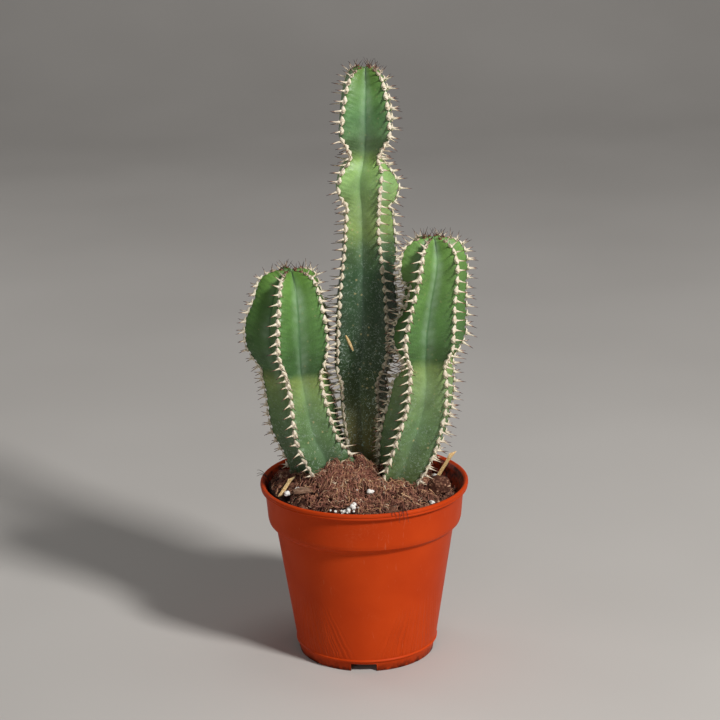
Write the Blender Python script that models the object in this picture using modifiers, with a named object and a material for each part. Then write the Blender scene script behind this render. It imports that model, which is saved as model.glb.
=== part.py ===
"""A potted euphorbia: three ribbed stems with horny spine rows, in soil, in a 12 cm nursery pot.

Metres, +Z up. The origin is on the pot's axis, at the level that its foot stands on.
Sizes in the tables are millimetres. Angles are degrees, seen from above, turning from the
front (-Y) towards the right (+X).
"""

import math
from bisect import bisect_right

import bmesh
import bpy
from mathutils import Matrix, Vector, noise
from mathutils.bvhtree import BVHTree

MM = 0.001
GAP = 0.3  # clearance between pieces that touch

# Pot: outer profile as (radius, height), from the rim down to the foot.
POT_HEIGHT = 103.5
RIM_RADIUS = 60.0
WALL = 1.2
STEP_HEIGHT = 77.6  # underside of the tapered collar
FLOOR_TOP = 6.2
FLOOR_UNDERSIDE = 5.0
FOOT_RADIUS = 39.4
FOOT_WIDTH = 1.6
DRAIN_RADIUS = 4.0
DRAIN_CIRCLE = 27.0  # radius of the circle that the outer drain holes stand on
DRILL_DEPTH = 10.0
NOTCH_WIDTH = 14.8
NOTCH_HEIGHT = 4.7
NOTCH_DEPTH = 12.0
NOTCH_TURN = -3.0
NOTCHES = 4
POT_OUTSIDE = [
    (58.9, POT_HEIGHT),
    (RIM_RADIUS, POT_HEIGHT - 0.9),
    (RIM_RADIUS, POT_HEIGHT - 3.0),
    (59.2, POT_HEIGHT - 3.8),
    (56.9, POT_HEIGHT - 4.1),
    (55.9, 82.4),
    (55.0, 80.2),
    (52.0, STEP_HEIGHT),
    (51.5, STEP_HEIGHT - 1.2),
    (40.8, 7.3),
    (41.0, 6.3),
    (40.1, 5.5),
    (FOOT_RADIUS, 0.0),
]
POT_INSIDE = [
    (FOOT_RADIUS - FOOT_WIDTH, 0.0),
    (FOOT_RADIUS - FOOT_WIDTH, FLOOR_UNDERSIDE),
    (DRAIN_RADIUS, FLOOR_UNDERSIDE),
    (DRAIN_RADIUS, FLOOR_TOP),
    (40.1 - WALL, FLOOR_TOP),
    (51.5 - WALL, STEP_HEIGHT - 0.2),
    (54.0, STEP_HEIGHT + 3.4),
    (56.9 - WALL, POT_HEIGHT - 4.1),
    (57.5, POT_HEIGHT - 1.0),
]
SCREW_STEPS = 48

# Soil: a heap against the stems, with hollows along the pot's wall.
SOIL_LEVEL = 95.5
# Each swell or hollow: x, y, spread along x, spread along y, rise.
SWELLS = [(-5.0, -20.0, 27.0, 20.0, 23.0), (-12.0, -21.0, 9.0, 9.0, 7.0), (-42.0, -2.0, 13.0, 13.0, 8.0)]
SWELLS += [(50.0, 22.0, 13.0, 13.0, -8.0), (-40.0, 36.0, 15.0, 15.0, -9.0), (54.0, -4.0, 9.0, 9.0, -3.0)]
HEAP_EDGE = (56.0, 101.5)  # radius and greatest height of the heap at the pot's wall
HEAP_SLOPE = 0.9  # the steepest that the heap's flank stands
HEAP_SOFTENING = 2.0
SOIL_AROUND = 40
SOIL_RINGS = [0.92, 0.84, 0.75, 0.66, 0.56, 0.45, 0.34, 0.22, 0.11, 0.0]

# Stems. ribs: the direction of each rib's crest. axis: height, x, y. girth: height, crest radius.
# trim: for a rib that stays lower than the others, height and share of the girth.
VALLEY = 0.6  # radius between two ribs, as a share of their crests'
FLANK = 0.33  # how far the flank still stands out, halfway from crest to valley
PITCH = 5.4  # distance between two spine shields
SPINE_REACH = 5.2
STEMS = {
    "centre_stem": {
        "ribs": [-36, 36, 104, 164, 220],
        "axis": [(98, 0.5, 12), (165, -1.8, 12), (182, 0.3, 12), (240, 1.1, 10), (262, 1.2, 9)]
        + [(275, 0.2, 9), (296, 3.5, 8), (341, 4.5, 8)],
        "girth": [(98, 13), (116, 14.2), (130, 15.6), (146, 17), (160, 17.2), (171, 22.1)]
        + [(182, 24), (196, 23.4), (212, 21.8), (228, 19), (240, 17.1), (251, 15.6), (262, 16.3)]
        + [(271, 18.6), (277, 20), (284, 18.8), (291, 13.4), (297, 16), (305, 22.4)]
        + [(315, 21.8), (325, 19.4), (332, 17), (337, 13.2), (340, 7.5)],
        "trim": {
            2: [(150, 1), (170, 0.88), (215, 0.9), (235, 1.1), (251, 1.17), (262, 1.0)]
            + [(271, 1.2), (277, 1.03), (284, 0.82), (291, 0.65), (297, 0.68), (340, 0.66)],
            4: [(98, 0.92), (271, 0.9), (291, 0.78), (305, 0.86), (325, 0.95), (340, 1)],
        },
        "reach": {0: 3.5, 1: 3.5, 2: 3.5},
    },
    "left_stem": {
        "ribs": [-89, -17, 55, 127, 199],
        "axis": [(98, -20, -7), (110, -22.5, -7), (122, -26.2, -7), (137, -32.2, -8), (161, -35.8, -8)]
        + [(179, -38.5, -8), (190, -39.4, -8), (231, -39.4, -8)],
        "girth": [(98, 19), (110, 21), (122, 22.6), (137, 20.4), (149, 18.4), (161, 16.8)]
        + [(170, 16.9), (180, 21.6), (190, 24.7), (202, 23.8), (214, 20.8), (222, 18.6)]
        + [(227, 15.5), (230, 9)],
        "trim": {
            0: [(98, 0.96), (110, 0.94), (122, 0.86), (137, 0.98), (149, 1.08), (161, 1.16)]
            + [(168, 1.19), (175, 1.15), (184, 1.16), (196, 1.05), (206, 1)],
            1: [(98, 0.8), (115, 0.87), (125, 1)],
            2: [(98, 1.1), (122, 1.12), (132, 1)],
            3: [(98, 0.6), (110, 0.71), (122, 0.86), (137, 1.05), (149, 1.15), (170, 1.17), (180, 1)],
        },
        "reach": {0: 2.4, 2: 3.5, 3: 1.4},
    },
    "right_stem": {
        "ribs": [-78, -21, 42, 102, 162, 222],
        "axis": [(92, 14.5, -9), (110, 17.2, -10), (119, 20.4, -10.4), (131, 24.8, -11), (143, 28.4, -12)]
        + [(155, 31.7, -13), (170, 33.2, -14), (193, 32.9, -15), (213, 35.6, -16)]
        + [(236, 39.7, -17), (250, 40.4, -17)],
        "girth": [(92, 18), (106, 19), (119, 23), (131, 23.7), (143, 23), (155, 21.7), (170, 20)]
        + [(178, 18.9), (185, 22.4), (193, 26), (203, 25.4), (213, 23.2), (225, 21.4)]
        + [(236, 19.7), (244, 16.8), (248, 12), (249.5, 6)],
        "trim": {
            0: [(92, 0.42), (110, 0.45), (120, 0.54), (131, 0.68), (143, 0.77), (155, 0.82)]
            + [(167, 0.81), (176, 0.52), (186, 0.62)]
            + [(200, 0.6), (212, 0.45), (222, 0.45), (227, 0.78), (236, 0.92), (249, 1)],
            3: [(92, 0.8), (120, 0.9), (165, 0.92), (185, 1)],
            4: [(92, 0.8), (200, 0.8), (246, 0.95)],
            5: [(92, 0.38), (119, 0.4), (131, 0.58), (145, 0.68), (200, 0.68), (246, 0.95)],
        },
        "reach": {0: 2.5, 1: 4.0, 3: 6.4, 4: 2.5, 5: 1.2},
    },
}

# Loose bits on the soil: x, y and size across.
PERLITE = [(-43.8, -25.5, 3.6), (-37.6, -26.0, 3.6), (-10.6, -50.0, 2.6)]
PERLITE += [(3.1, -40.4, 3.6), (42.0, 31.4, 3.4), (37.8, -33.8, 3.0)]
CLOD = (42.5, -16.5, 13.0)
BARK_CHIP = (-34.5, -33.5, 11.0, 5.0, 2.0)  # x, y, length, width, thickness
STRAW_RADIUS = 0.8
# Each stalk: x, y and height above the soil that its foot stands on.
FLAT_STRAW = [(-48.0, -24.2, 0.0), (-44.6, -22.0, 4.8), (-41.0, -19.8, 9.6)]
UPRIGHT_STRAW = [(40.5, 21.6, 0.0), (46.3, 22.3, 9.5), (52.3, 23.0, 19.0)]


def clear_scene():
    for item in list(bpy.data.objects):
        bpy.data.objects.remove(item, do_unlink=True)


def material(name, colour, roughness):
    paint = bpy.data.materials.new(name)
    paint.use_nodes = True
    shader = paint.node_tree.nodes["Principled BSDF"]
    shader.inputs["Base Color"].default_value = (*colour, 1)
    shader.inputs["Roughness"].default_value = roughness
    shader.inputs["Metallic"].default_value = 0
    return paint


def collection(name):
    group = bpy.data.collections.new(name)
    bpy.context.scene.collection.children.link(group)
    return group


def make_object(name, mesh, group, paint=None):
    piece = bpy.data.objects.new(name, mesh)
    group.objects.link(piece)
    if paint:
        mesh.materials.append(paint)
    return piece


def make_cutter(name, mesh, group):
    cutter = make_object(name, mesh, group)
    cutter.hide_render = True
    cutter.display_type = "WIRE"
    return cutter


def cut(piece, cutter):
    boolean = piece.modifiers.new(cutter.name, "BOOLEAN")
    boolean.operation = "DIFFERENCE"
    boolean.solver = "EXACT"
    boolean.object = cutter


def mesh_from(bm, name, smooth_angle=None):
    mesh = bpy.data.meshes.new(name)
    bm.to_mesh(mesh)
    bm.free()
    if smooth_angle:
        mesh.shade_smooth()
        mesh.set_sharp_from_angle(angle=math.radians(smooth_angle))
    return mesh


def lofted(name, sections, smooth_angle=None):
    """A closed skin through a stack of closed sections, which all have the same number of points."""
    around = len(sections[0])
    bm = bmesh.new()
    bmesh.ops.create_grid(bm, x_segments=around, y_segments=len(sections) - 1, size=1)
    bm.verts.ensure_lookup_table()
    for vert in bm.verts:
        row, column = divmod(vert.index, around + 1)
        vert.co = Vector(sections[row][column % around]) * MM
    bmesh.ops.remove_doubles(bm, verts=bm.verts, dist=1e-6)
    bmesh.ops.holes_fill(bm, edges=[edge for edge in bm.edges if edge.is_boundary], sides=0)
    bmesh.ops.recalc_face_normals(bm, faces=bm.faces)
    return mesh_from(bm, name, smooth_angle)


def between(table, height, column=1):
    """Reads a column of a table at a height, in a straight line between its rows."""
    place = min(max(bisect_right([row[0] for row in table], height), 1), len(table) - 1)
    low, high = table[place - 1], table[place]
    share = min(max((height - low[0]) / (high[0] - low[0]), 0), 1)
    return low[column] + share * (high[column] - low[column])


def around_axis(x, y, radius, angle, height):
    turn = math.radians(angle)
    return Vector((x + radius * math.sin(turn), y - radius * math.cos(turn), height))


# ---- pot ----


def build_pot(group, cutters):
    profile = bmesh.new()
    corners = [profile.verts.new((r * MM, 0, z * MM)) for r, z in POT_OUTSIDE + POT_INSIDE]
    for here, there in zip(corners, corners[1:] + corners[:1]):
        profile.edges.new((here, there))
    pot = make_object("pot", mesh_from(profile, "pot"), group)
    pot.data.materials.append(material("terracotta_plastic", (0.52, 0.08, 0.02), 0.4))
    screw = pot.modifiers.new("turn", "SCREW")
    screw.steps = SCREW_STEPS
    screw.render_steps = SCREW_STEPS
    screw.use_merge_vertices = True
    screw.merge_threshold = 1e-5
    screw.use_smooth_shade = True

    for number in range(NOTCHES):
        angle = NOTCH_TURN + 360 / NOTCHES * number
        box = bmesh.new()
        bmesh.ops.create_cube(box, size=1)
        size = Vector((NOTCH_WIDTH, NOTCH_DEPTH, 2 * NOTCH_HEIGHT)) * MM
        bmesh.ops.scale(box, verts=box.verts, vec=size)
        notch = make_cutter(f"notch_cutter_{number + 1}", mesh_from(box, "notch"), cutters)
        notch.location = around_axis(0, 0, FOOT_RADIUS, angle, 0) * MM
        notch.rotation_euler.z = math.radians(angle)
        cut(pot, notch)

        drill = bmesh.new()
        radius = DRAIN_RADIUS * MM
        bmesh.ops.create_cone(
            drill, cap_ends=True, segments=16, radius1=radius, radius2=radius, depth=DRILL_DEPTH * MM
        )
        hole = make_cutter(f"drain_cutter_{number + 1}", mesh_from(drill, "drain"), cutters)
        hole.location = around_axis(0, 0, DRAIN_CIRCLE, angle, FLOOR_TOP) * MM
        cut(pot, hole)
    return pot


# ---- soil ----


def soil_height(x, y):
    heap = SOIL_LEVEL
    for middle_x, middle_y, spread_x, spread_y, rise in SWELLS:
        heap += rise * math.exp(-(((x - middle_x) / spread_x) ** 2 + ((y - middle_y) / spread_y) ** 2) / 2)
    edge_radius, edge_height = HEAP_EDGE
    flank = edge_height + HEAP_SLOPE * (edge_radius - math.hypot(x, y))
    soft = HEAP_SOFTENING
    return -soft * math.log(math.exp(-heap / soft) + math.exp(-flank / soft))


def wall_radius(height):
    """The pot's inner radius at a height, less the soil's clearance."""
    inner = [(z, r) for r, z in POT_INSIDE[4:8]]
    return between(inner, height) - GAP - 0.1


def soil_sections():
    turns = [360 / SOIL_AROUND * step for step in range(SOIL_AROUND)]
    low = FLOOR_TOP + GAP
    sections = []
    for height in (low, STEP_HEIGHT - 0.2, STEP_HEIGHT + 3.4):
        sections.append([around_axis(0, 0, wall_radius(height), turn, height) for turn in turns])
    edge = []
    for turn in turns:
        rim = around_axis(0, 0, wall_radius(90), turn, 0)
        height = soil_height(rim.x, rim.y)
        edge.append(around_axis(0, 0, wall_radius(height), turn, height))
    sections.append(edge)
    for share in SOIL_RINGS:
        ring = [Vector((point.x * share, point.y * share, 0)) for point in edge]
        sections.append([Vector((p.x, p.y, soil_height(p.x, p.y))) for p in ring])
    return sections


def build_soil(group, cutters):
    soil = make_object("soil", lofted("soil", soil_sections(), 40), group)
    soil.data.materials.append(material("peat_and_coir", (0.12, 0.05, 0.03), 1.0))
    for name, stem in STEMS.items():
        base = stem["girth"][0][0]
        heights = [base - 2 * GAP] + [row[0] for row in stem["girth"][:4]]
        sections = [section(stem, height, grow=0.35) for height in heights]
        socket = make_cutter(f"{name}_socket_cutter", lofted("socket", sections), cutters)
        cut(soil, socket)
    return soil


# ---- stems ----


def rib_radius(stem, rib, height):
    radius = between(stem["girth"], height)
    trim = stem["trim"].get(rib)
    return radius * between(trim, height) if trim else radius


def section(stem, height, grow=0.0):
    """One level cut through a stem: crest, flank, valley and flank for each rib."""
    x, y = between(stem["axis"], height), between(stem["axis"], height, 2)
    ribs = stem["ribs"]
    points = []
    for rib, angle in enumerate(ribs):
        following = (rib + 1) % len(ribs)
        spread = (ribs[following] - angle) % 360
        crests = rib_radius(stem, rib, height), rib_radius(stem, following, height)
        valley = VALLEY * sum(crests) / 2
        flanks = [valley + FLANK * (crest - valley) for crest in crests]
        for share, radius in zip((0, 0.25, 0.5, 0.75), (crests[0], flanks[0], valley, flanks[1])):
            points.append(around_axis(x, y, radius + grow, angle + share * spread, height))
    return points


def build_stem(name, stem, group, paint):
    sections = [section(stem, row[0]) for row in stem["girth"]]
    top = stem["girth"][-1][0]
    middle = Vector((between(stem["axis"], top), between(stem["axis"], top, 2), top - 0.6))
    sections.append([middle] * len(sections[0]))
    return make_object(name, lofted(name, sections, 50), group, paint)


def spine_direction(stem, rib, height):
    """Spines stand straight out of the stem's side, and fan upwards over its rounded tip."""
    levels = [row[0] for row in stem["girth"]]
    lift = max(height - levels[-4], 0) / (levels[-1] - levels[-4]) * math.radians(75)
    turn = math.radians(stem["ribs"][rib])
    outward = Vector((math.sin(turn), -math.cos(turn), 0))
    return outward * math.cos(lift) + Vector((0, 0, math.sin(lift)))


def spine_row(stem, rib):
    """Sections of the horny margin on one rib's crest: low between two shields, high at each spine."""
    crest = [section(stem, row[0])[4 * rib] for row in stem["girth"]]
    turn = math.radians(stem["ribs"][rib])
    sideways = Vector((math.cos(turn), math.sin(turn), 0))
    reach = stem["reach"].get(rib, SPINE_REACH)
    stations = []
    for low, high in zip(crest, crest[1:]):
        shields = max(round((high - low).length / PITCH), 1)
        for shield in range(shields):
            stations.append((low.lerp(high, shield / shields), 1.1, 0.8))
            stations.append((low.lerp(high, (shield + 0.4) / shields), 1.6, reach))
    stations.append((crest[-1], 0.9, 0.8))
    sections = []
    for point, half_width, height in stations:
        if point.z < soil_height(point.x, point.y) + 2.5:
            continue
        outward = spine_direction(stem, rib, point.z)
        seat = point + outward * (GAP + 0.1)
        tip = seat + outward * height
        sections.append([seat - sideways * half_width, seat + sideways * half_width, tip])
    return sections


# ---- loose bits on the soil ----


def soil_surface(soil):
    """The finished soil as a tree that rays can hit."""
    return BVHTree.FromObject(soil, bpy.context.evaluated_depsgraph_get())


def seat_on(surface, x, y):
    point, normal, _, _ = surface.ray_cast(Vector((x * MM, y * MM, 0.2)), Vector((0, 0, -1)))
    return point, normal


def rest_on_soil(piece, surface, x, y, turn):
    """Lays a piece flat on the slope under it, with its lowest corner one gap above the surface."""
    point, normal = seat_on(surface, x, y)
    tilt = Vector((0, 0, 1)).rotation_difference(normal).to_matrix().to_4x4()
    spin = Matrix.Rotation(math.radians(turn), 4, "Z")
    placed = Matrix.Translation(point) @ tilt @ spin
    corners = [placed @ vert.co for vert in piece.data.vertices]
    depth = max(seat_on(surface, corner.x / MM, corner.y / MM)[0].z - corner.z for corner in corners)
    piece.matrix_world = Matrix.Translation((0, 0, depth + GAP * MM)) @ placed


def crumb(name, across, seed, flat):
    """A rough rounded lump, such as a perlite granule or a clod of soil."""
    bm = bmesh.new()
    bmesh.ops.create_icosphere(bm, subdivisions=1, radius=across * MM / 2)
    for vert in bm.verts:
        place = vert.co / (across * MM) * 2 + Vector((seed * 3.7, 0, 0))
        vert.co *= 1 + 0.22 * noise.noise(place)
        vert.co.z *= flat
    return mesh_from(bm, name, 60)


def straw(name, points, group, paint):
    """A dry stalk: a welded tube through its points."""
    curve = bpy.data.curves.new(name, "CURVE")
    curve.dimensions = "3D"
    curve.bevel_depth = STRAW_RADIUS * MM
    curve.bevel_resolution = 1
    curve.use_fill_caps = True
    spline = curve.splines.new("POLY")
    spline.points.add(len(points) - 1)
    for target, point in zip(spline.points, points):
        target.co = (*point, 1)
    guide = make_object(f"{name}_guide", curve, group)
    graph = bpy.context.evaluated_depsgraph_get()
    mesh = bpy.data.meshes.new_from_object(guide.evaluated_get(graph))
    bpy.data.objects.remove(guide, do_unlink=True)
    bm = bmesh.new()
    bm.from_mesh(mesh)
    bmesh.ops.remove_doubles(bm, verts=bm.verts, dist=1e-6)
    bmesh.ops.recalc_face_normals(bm, faces=bm.faces)
    bm.to_mesh(mesh)
    bm.free()
    mesh.name = name
    return make_object(name, mesh, group, paint)


def build_bits(soil, group):
    surface = soil_surface(soil)
    white = material("perlite", (0.8, 0.78, 0.72), 0.9)
    for number, (x, y, across) in enumerate(PERLITE, 1):
        name = f"perlite_{number}"
        grain = make_object(name, crumb(name, across, number, 0.75), group, white)
        rest_on_soil(grain, surface, x, y, 40 * number)

    clod = make_object("soil_clod", crumb("soil_clod", CLOD[2], 9, 0.8), group)
    clod.data.materials.append(material("dry_peat", (0.16, 0.1, 0.07), 1.0))
    rest_on_soil(clod, surface, CLOD[0], CLOD[1], 0)

    chip_mesh = bmesh.new()
    bmesh.ops.create_cube(chip_mesh, size=1)
    bmesh.ops.scale(chip_mesh, verts=chip_mesh.verts, vec=[size * MM for size in BARK_CHIP[2:]])
    edges = chip_mesh.edges[:]
    bmesh.ops.bevel(
        chip_mesh, geom=edges, offset=0.5 * MM, segments=1, profile=0.5, affect="EDGES", material=-1
    )
    chip = make_object("bark_chip", mesh_from(chip_mesh, "bark_chip", 40), group)
    chip.data.materials.append(material("bark", (0.35, 0.2, 0.11), 0.85))
    rest_on_soil(chip, surface, BARK_CHIP[0], BARK_CHIP[1], 15)

    dry = material("dry_stalk", (0.62, 0.45, 0.2), 0.7)
    for name, rows in (("flat_straw", FLAT_STRAW), ("upright_straw", UPRIGHT_STRAW)):
        foot = seat_on(surface, *rows[0][:2])[0].z + (GAP + STRAW_RADIUS) * MM
        points = [Vector((x * MM, y * MM, foot + rise * MM)) for x, y, rise in rows]
        straw(name, points, group, dry)


def main():
    clear_scene()
    group = collection("potted_euphorbia")
    cutters = collection("cutters")
    build_pot(group, cutters)
    soil = build_soil(group, cutters)
    green = material("stem_skin", (0.08, 0.2, 0.06), 0.5)
    horn = material("horny_margin", (0.72, 0.62, 0.48), 0.6)
    for name, stem in STEMS.items():
        build_stem(name, stem, group, green)
        for rib in range(len(stem["ribs"])):
            row_name = f"{name}_spine_row_{rib + 1}"
            row = make_object(row_name, lofted(row_name, spine_row(stem, rib)), group, horn)
            row.data.set_sharp_from_angle(angle=0)
    bpy.context.view_layer.update()
    build_bits(soil, group)


main()
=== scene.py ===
"""A potted euphorbia: three ribbed stems with horny spine rows, in coir and peat, in a 12 cm pot.

Shapes are worked out in millimetres and scaled to metres when a piece is finished.
Angles are degrees, seen from above, turning from the front (-Y) towards the right (+X).
"""

import math
import random
from bisect import bisect_right

import bmesh
import bpy
import numpy as np
from mathutils import Matrix, Vector, noise


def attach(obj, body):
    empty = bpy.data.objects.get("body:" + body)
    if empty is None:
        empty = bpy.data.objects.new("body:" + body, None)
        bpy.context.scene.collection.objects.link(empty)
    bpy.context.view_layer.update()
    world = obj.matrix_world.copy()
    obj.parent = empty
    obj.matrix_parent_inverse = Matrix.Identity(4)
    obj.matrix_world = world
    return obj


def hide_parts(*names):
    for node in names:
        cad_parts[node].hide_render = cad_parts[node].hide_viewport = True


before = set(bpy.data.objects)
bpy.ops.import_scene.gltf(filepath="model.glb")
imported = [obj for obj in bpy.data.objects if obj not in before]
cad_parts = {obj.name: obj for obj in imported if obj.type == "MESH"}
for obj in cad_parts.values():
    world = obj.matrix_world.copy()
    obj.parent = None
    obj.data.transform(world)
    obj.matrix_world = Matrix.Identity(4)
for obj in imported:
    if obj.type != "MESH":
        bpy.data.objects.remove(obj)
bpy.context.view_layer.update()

MM = 0.001
UP = Vector((0, 0, 1))
MERGE = 1e-4  # points this near each other, in millimetres, are one
FULL_TURN = 6.28  # radians, for a piece that may lie any way round

# ---- sizes of the pot ----

POT_HEIGHT = 103.5
FLOOR_TOP = 6.2
FLOOR_UNDERSIDE = 5.0
FOOT_RADIUS = 39.4
DRAIN_RADIUS = 4.0
DRAIN_CIRCLE = 27.0
DRILL_LENGTH = 10  # longer than the floor is thick
NOTCH_SIZE = (14.8, 12.0, 4.7)
NOTCH_TURN = -3.0
NOTCHES = 4
LOWER_RADIUS = 42  # of the wall where the flow lines show
SMEAR_AND_SHADE_BELOW = 102.3  # the lip above this height has neither dried peat nor painted shade
SPIN_STEPS = 160
# Height and radius of the middle of the wall's thickness.
WALL_MIDDLE = [(6.2, 39.6), (77.4, 50.9), (81.0, 54.6), (99.4, 56.6), (103.0, 58.2)]

# Pot outline as (radius, height, fillet), from the lip down the outside and back up the inside.
POT_OUTLINE = [
    (58.7, POT_HEIGHT, 0.6), (59.9, 102.9, 0.5), (60.0, 101.5, 0.3), (59.45, 101.0, 0.2),
    (59.75, 100.5, 0.25), (59.6, 99.8, 0.2), (57.3, 99.6, 0.3), (55.9, 82.4, 0.7),
    (55.3, 80.2, 0.35), (52.1, 77.6, 0.5), (51.5, 77.0, 0.3), (40.9, 7.5, 0.3),
    (41.4, 7.0, 0.12), (41.35, 6.4, 0.15), (40.4, 6.0, 0.3), (FOOT_RADIUS, 0.0, 0.35),
    (37.8, 0.0, 0.35), (37.8, FLOOR_UNDERSIDE, 0.5),
    (DRAIN_RADIUS, FLOOR_UNDERSIDE, 0.3), (DRAIN_RADIUS, FLOOR_TOP, 0.3), (38.9, FLOOR_TOP, 0.8),
    (50.3, 77.4, 1.0), (54.0, 81.0, 1.2), (55.9, 99.4, 1.0), (57.6, 102.7, 0.8),
]

# ---- the soil ----

SOIL_LEVEL = 95.5
# Each swell or hollow: x, y, spread along x, spread along y, rise.
SWELLS = [
    (-5.0, -20.0, 27.0, 20.0, 23.0), (-14.0, -22.0, 11.0, 9.0, 4.0),
    (-42.0, -2.0, 13.0, 13.0, 8.0), (50.0, 22.0, 13.0, 13.0, -8.0),
    (-40.0, 36.0, 15.0, 15.0, -9.0), (54.0, -4.0, 9.0, 9.0, -3.0),
]
HEAP_EDGE = (56.0, 101.5)  # radius and greatest height of the heap at the pot's wall
HEAP_SLOPE = 0.9  # the steepest that the heap's flank stands
HEAP_SOFTENING = 2.0
SOIL_EDGE = 54.0  # radius within which loose bits lie
SOIL_TURNS = 220  # points round the soil's surface
SOIL_RINGS = 56
INNER_WALL = [(6.2, 38.9), (77.4, 50.3), (81.0, 54.0), (99.4, 55.7)]  # height, radius

# ---- the stems ----

VALLEY = 0.6
FLANK_POWER = 1.6
CREST_ROUNDING = 0.07
PITCH = 5.4  # distance between two spine shields
RING_STEP = 1.15
CREST_STEP = 0.2  # rise between two points of a crest's path
TIP_LENGTH = 16  # height over which the stem closes in
YOUNG_LENGTH = 22  # length of crest below the tip where shields are still growing
# Where the samples between two crests stand: crowded towards the crests.
SPREAD = [0, 0.02, 0.045, 0.08, 0.13, 0.2, 0.3, 0.4, 0.47]
SPREAD = SPREAD + [0.5] + [1 - share for share in SPREAD[:0:-1]]
# Each stem, with heights first in every row:
# ribs: angle of each crest. axis: x and y of the middle. girth: radius of the crests.
# trim: a single rib's share of that radius. narrows: where one season's growth stopped.
# spine_share: a single rib's share of the spines' length. tint: colour of the skin, lightened at
# the centre stem's foot as painted light.
# weather: age of the skin, from 0 when fresh to 1.
STEMS = {
    "centre_stem": {
        "ribs": [-36, 36, 104, 164, 220],
        "axis": [(98, 0.5, 12), (165, -1.8, 12), (182, 0.3, 12), (240, 1.1, 10), (262, 1.2, 9)]
        + [(275, 0.2, 9), (296, 3.5, 8), (341, 4.5, 8)],
        "girth": [(98, 13), (116, 14.2), (130, 15.6), (146, 17), (160, 17.2), (171, 22.1)]
        + [(182, 24), (196, 23.4), (212, 21.8), (228, 19), (240, 17.1), (251, 15.6), (262, 16.3)]
        + [(271, 18.6), (277, 20), (284, 18.8), (291, 13.4), (297, 16), (305, 22.4)]
        + [(315, 21.8), (325, 19.4), (332, 17), (337, 13.2), (340, 7.5)],
        "trim": {
            2: [(150, 1), (170, 0.88), (215, 0.9), (235, 1.1), (251, 1.17), (257, 1.12)]
            + [(261, 0.96), (264, 1.16), (271, 1.2), (277, 1.03), (284, 0.82), (291, 0.65)]
            + [(297, 0.68), (340, 0.66)],
            0: [(98, 1), (252, 1), (258, 0.94), (264, 0.86), (268, 0.93), (272, 1.03), (281, 1)],
            4: [(98, 0.92), (252, 0.9), (264, 0.78), (271, 0.92), (291, 0.76), (305, 0.84)]
            + [(325, 0.95), (340, 1)],
        },
        "narrows": [291, 263, 160],
        # The lowest rows, up to 136 mm, are partly the skin's dusty brown and partly painted light
        # for the stem's foot.
        "tint": [(98, "8E7E52"), (120, "867A4C"), (136, "686640"), (154, "445230")]
        + [(172, "304529"), (200, "334930"), (225, "355032"), (240, "4C643C"), (251, "879F5A")]
        + [(262, "839D5E"), (275, "87AA66"), (285, "87AA60"), (291, "89A85C"), (297, "607B52")]
        + [(315, "577E4B"), (330, "628947"), (341, "6D9044")],
        "weather": [(98, 1), (165, 0.75), (200, 0.35), (250, 0.2), (340, 0)],
    },
    "left_stem": {
        "ribs": [-89, -17, 55, 127, 199],
        "axis": [(98, -20, -7), (110, -22.5, -7), (122, -26.2, -7), (137, -32.2, -8)]
        + [(161, -35.8, -8), (179, -38.5, -8), (190, -39.4, -8), (231, -39.4, -8)],
        "girth": [(98, 19), (110, 21), (122, 22.6), (137, 20.4), (149, 18.4), (161, 16.8)]
        + [(170, 16.9), (180, 21.6), (190, 24.7), (202, 23.8), (214, 20.8), (222, 18.6)]
        + [(227, 15.5), (230, 9)],
        "trim": {
            0: [(98, 0.96), (110, 0.94), (122, 0.86), (137, 0.98), (149, 1.08), (161, 1.16)]
            + [(168, 1.17), (175, 1.07), (184, 1.07), (190, 1.065), (196, 1.085), (202, 1.08)]
            + [(208, 1.04), (214, 1)],
            1: [(98, 0.8), (115, 0.87), (125, 1)],
            2: [(98, 1.1), (122, 1.12), (132, 1)],
            3: [(98, 0.6), (110, 0.71), (122, 0.86), (137, 1.08), (149, 1.22), (160, 1.24)]
            + [(170, 1.17), (180, 1)],
        },
        "narrows": [167],
        "spine_share": {0: 0.8},
        "tint": [(98, "455C3E"), (122, "49643D"), (148, "617D4C"), (162, "789153")]
        + [(168, "839752"), (174, "416336"), (190, "496D36"), (210, "59813E"), (231, "648B3D")],
        "weather": [(98, 0.5), (150, 0.25), (170, 0.1), (231, 0)],
    },
    "right_stem": {
        "ribs": [-78, -21, 42, 102, 162, 222],
        "axis": [(92, 14.5, -9), (110, 17.2, -10), (119, 20.4, -10.4), (131, 24.8, -11)]
        + [(143, 28.4, -12), (155, 31.7, -13), (170, 33.2, -14), (193, 32.9, -15)]
        + [(213, 35.6, -16), (236, 39.7, -17), (250, 40.4, -17)],
        "girth": [(92, 18), (106, 19), (119, 23), (131, 23.7), (143, 23), (155, 21.7), (170, 20)]
        + [(178, 18.9), (185, 22.4), (193, 26), (203, 25.4), (213, 23.2), (225, 21.4)]
        + [(236, 19.7), (244, 16.8), (248, 12), (249.5, 6)],
        "trim": {
            0: [(92, 0.42), (110, 0.45), (120, 0.54), (131, 0.68), (143, 0.77), (155, 0.82)]
            + [(167, 0.81), (176, 0.52), (186, 0.62)]
            + [(200, 0.6), (212, 0.45), (222, 0.45), (227, 0.78), (236, 0.92), (249, 1)],
            3: [(92, 0.8), (120, 0.9), (165, 0.92), (185, 1)],
            4: [(92, 0.8), (200, 0.8), (246, 0.95)],
            5: [(92, 0.38), (119, 0.4), (131, 0.58), (145, 0.68), (200, 0.68), (246, 0.95)],
        },
        "narrows": [178],
        "tint": [(92, "62734C"), (110, "617548"), (140, "637F51"), (165, "7A925C")]
        + [(177, "839A58"), (183, "4B6E39"), (205, "50743A"), (225, "618643"), (250, "6E944A")],
        "weather": [(92, 0.5), (160, 0.25), (180, 0.1), (250, 0)],
    },
}

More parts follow.
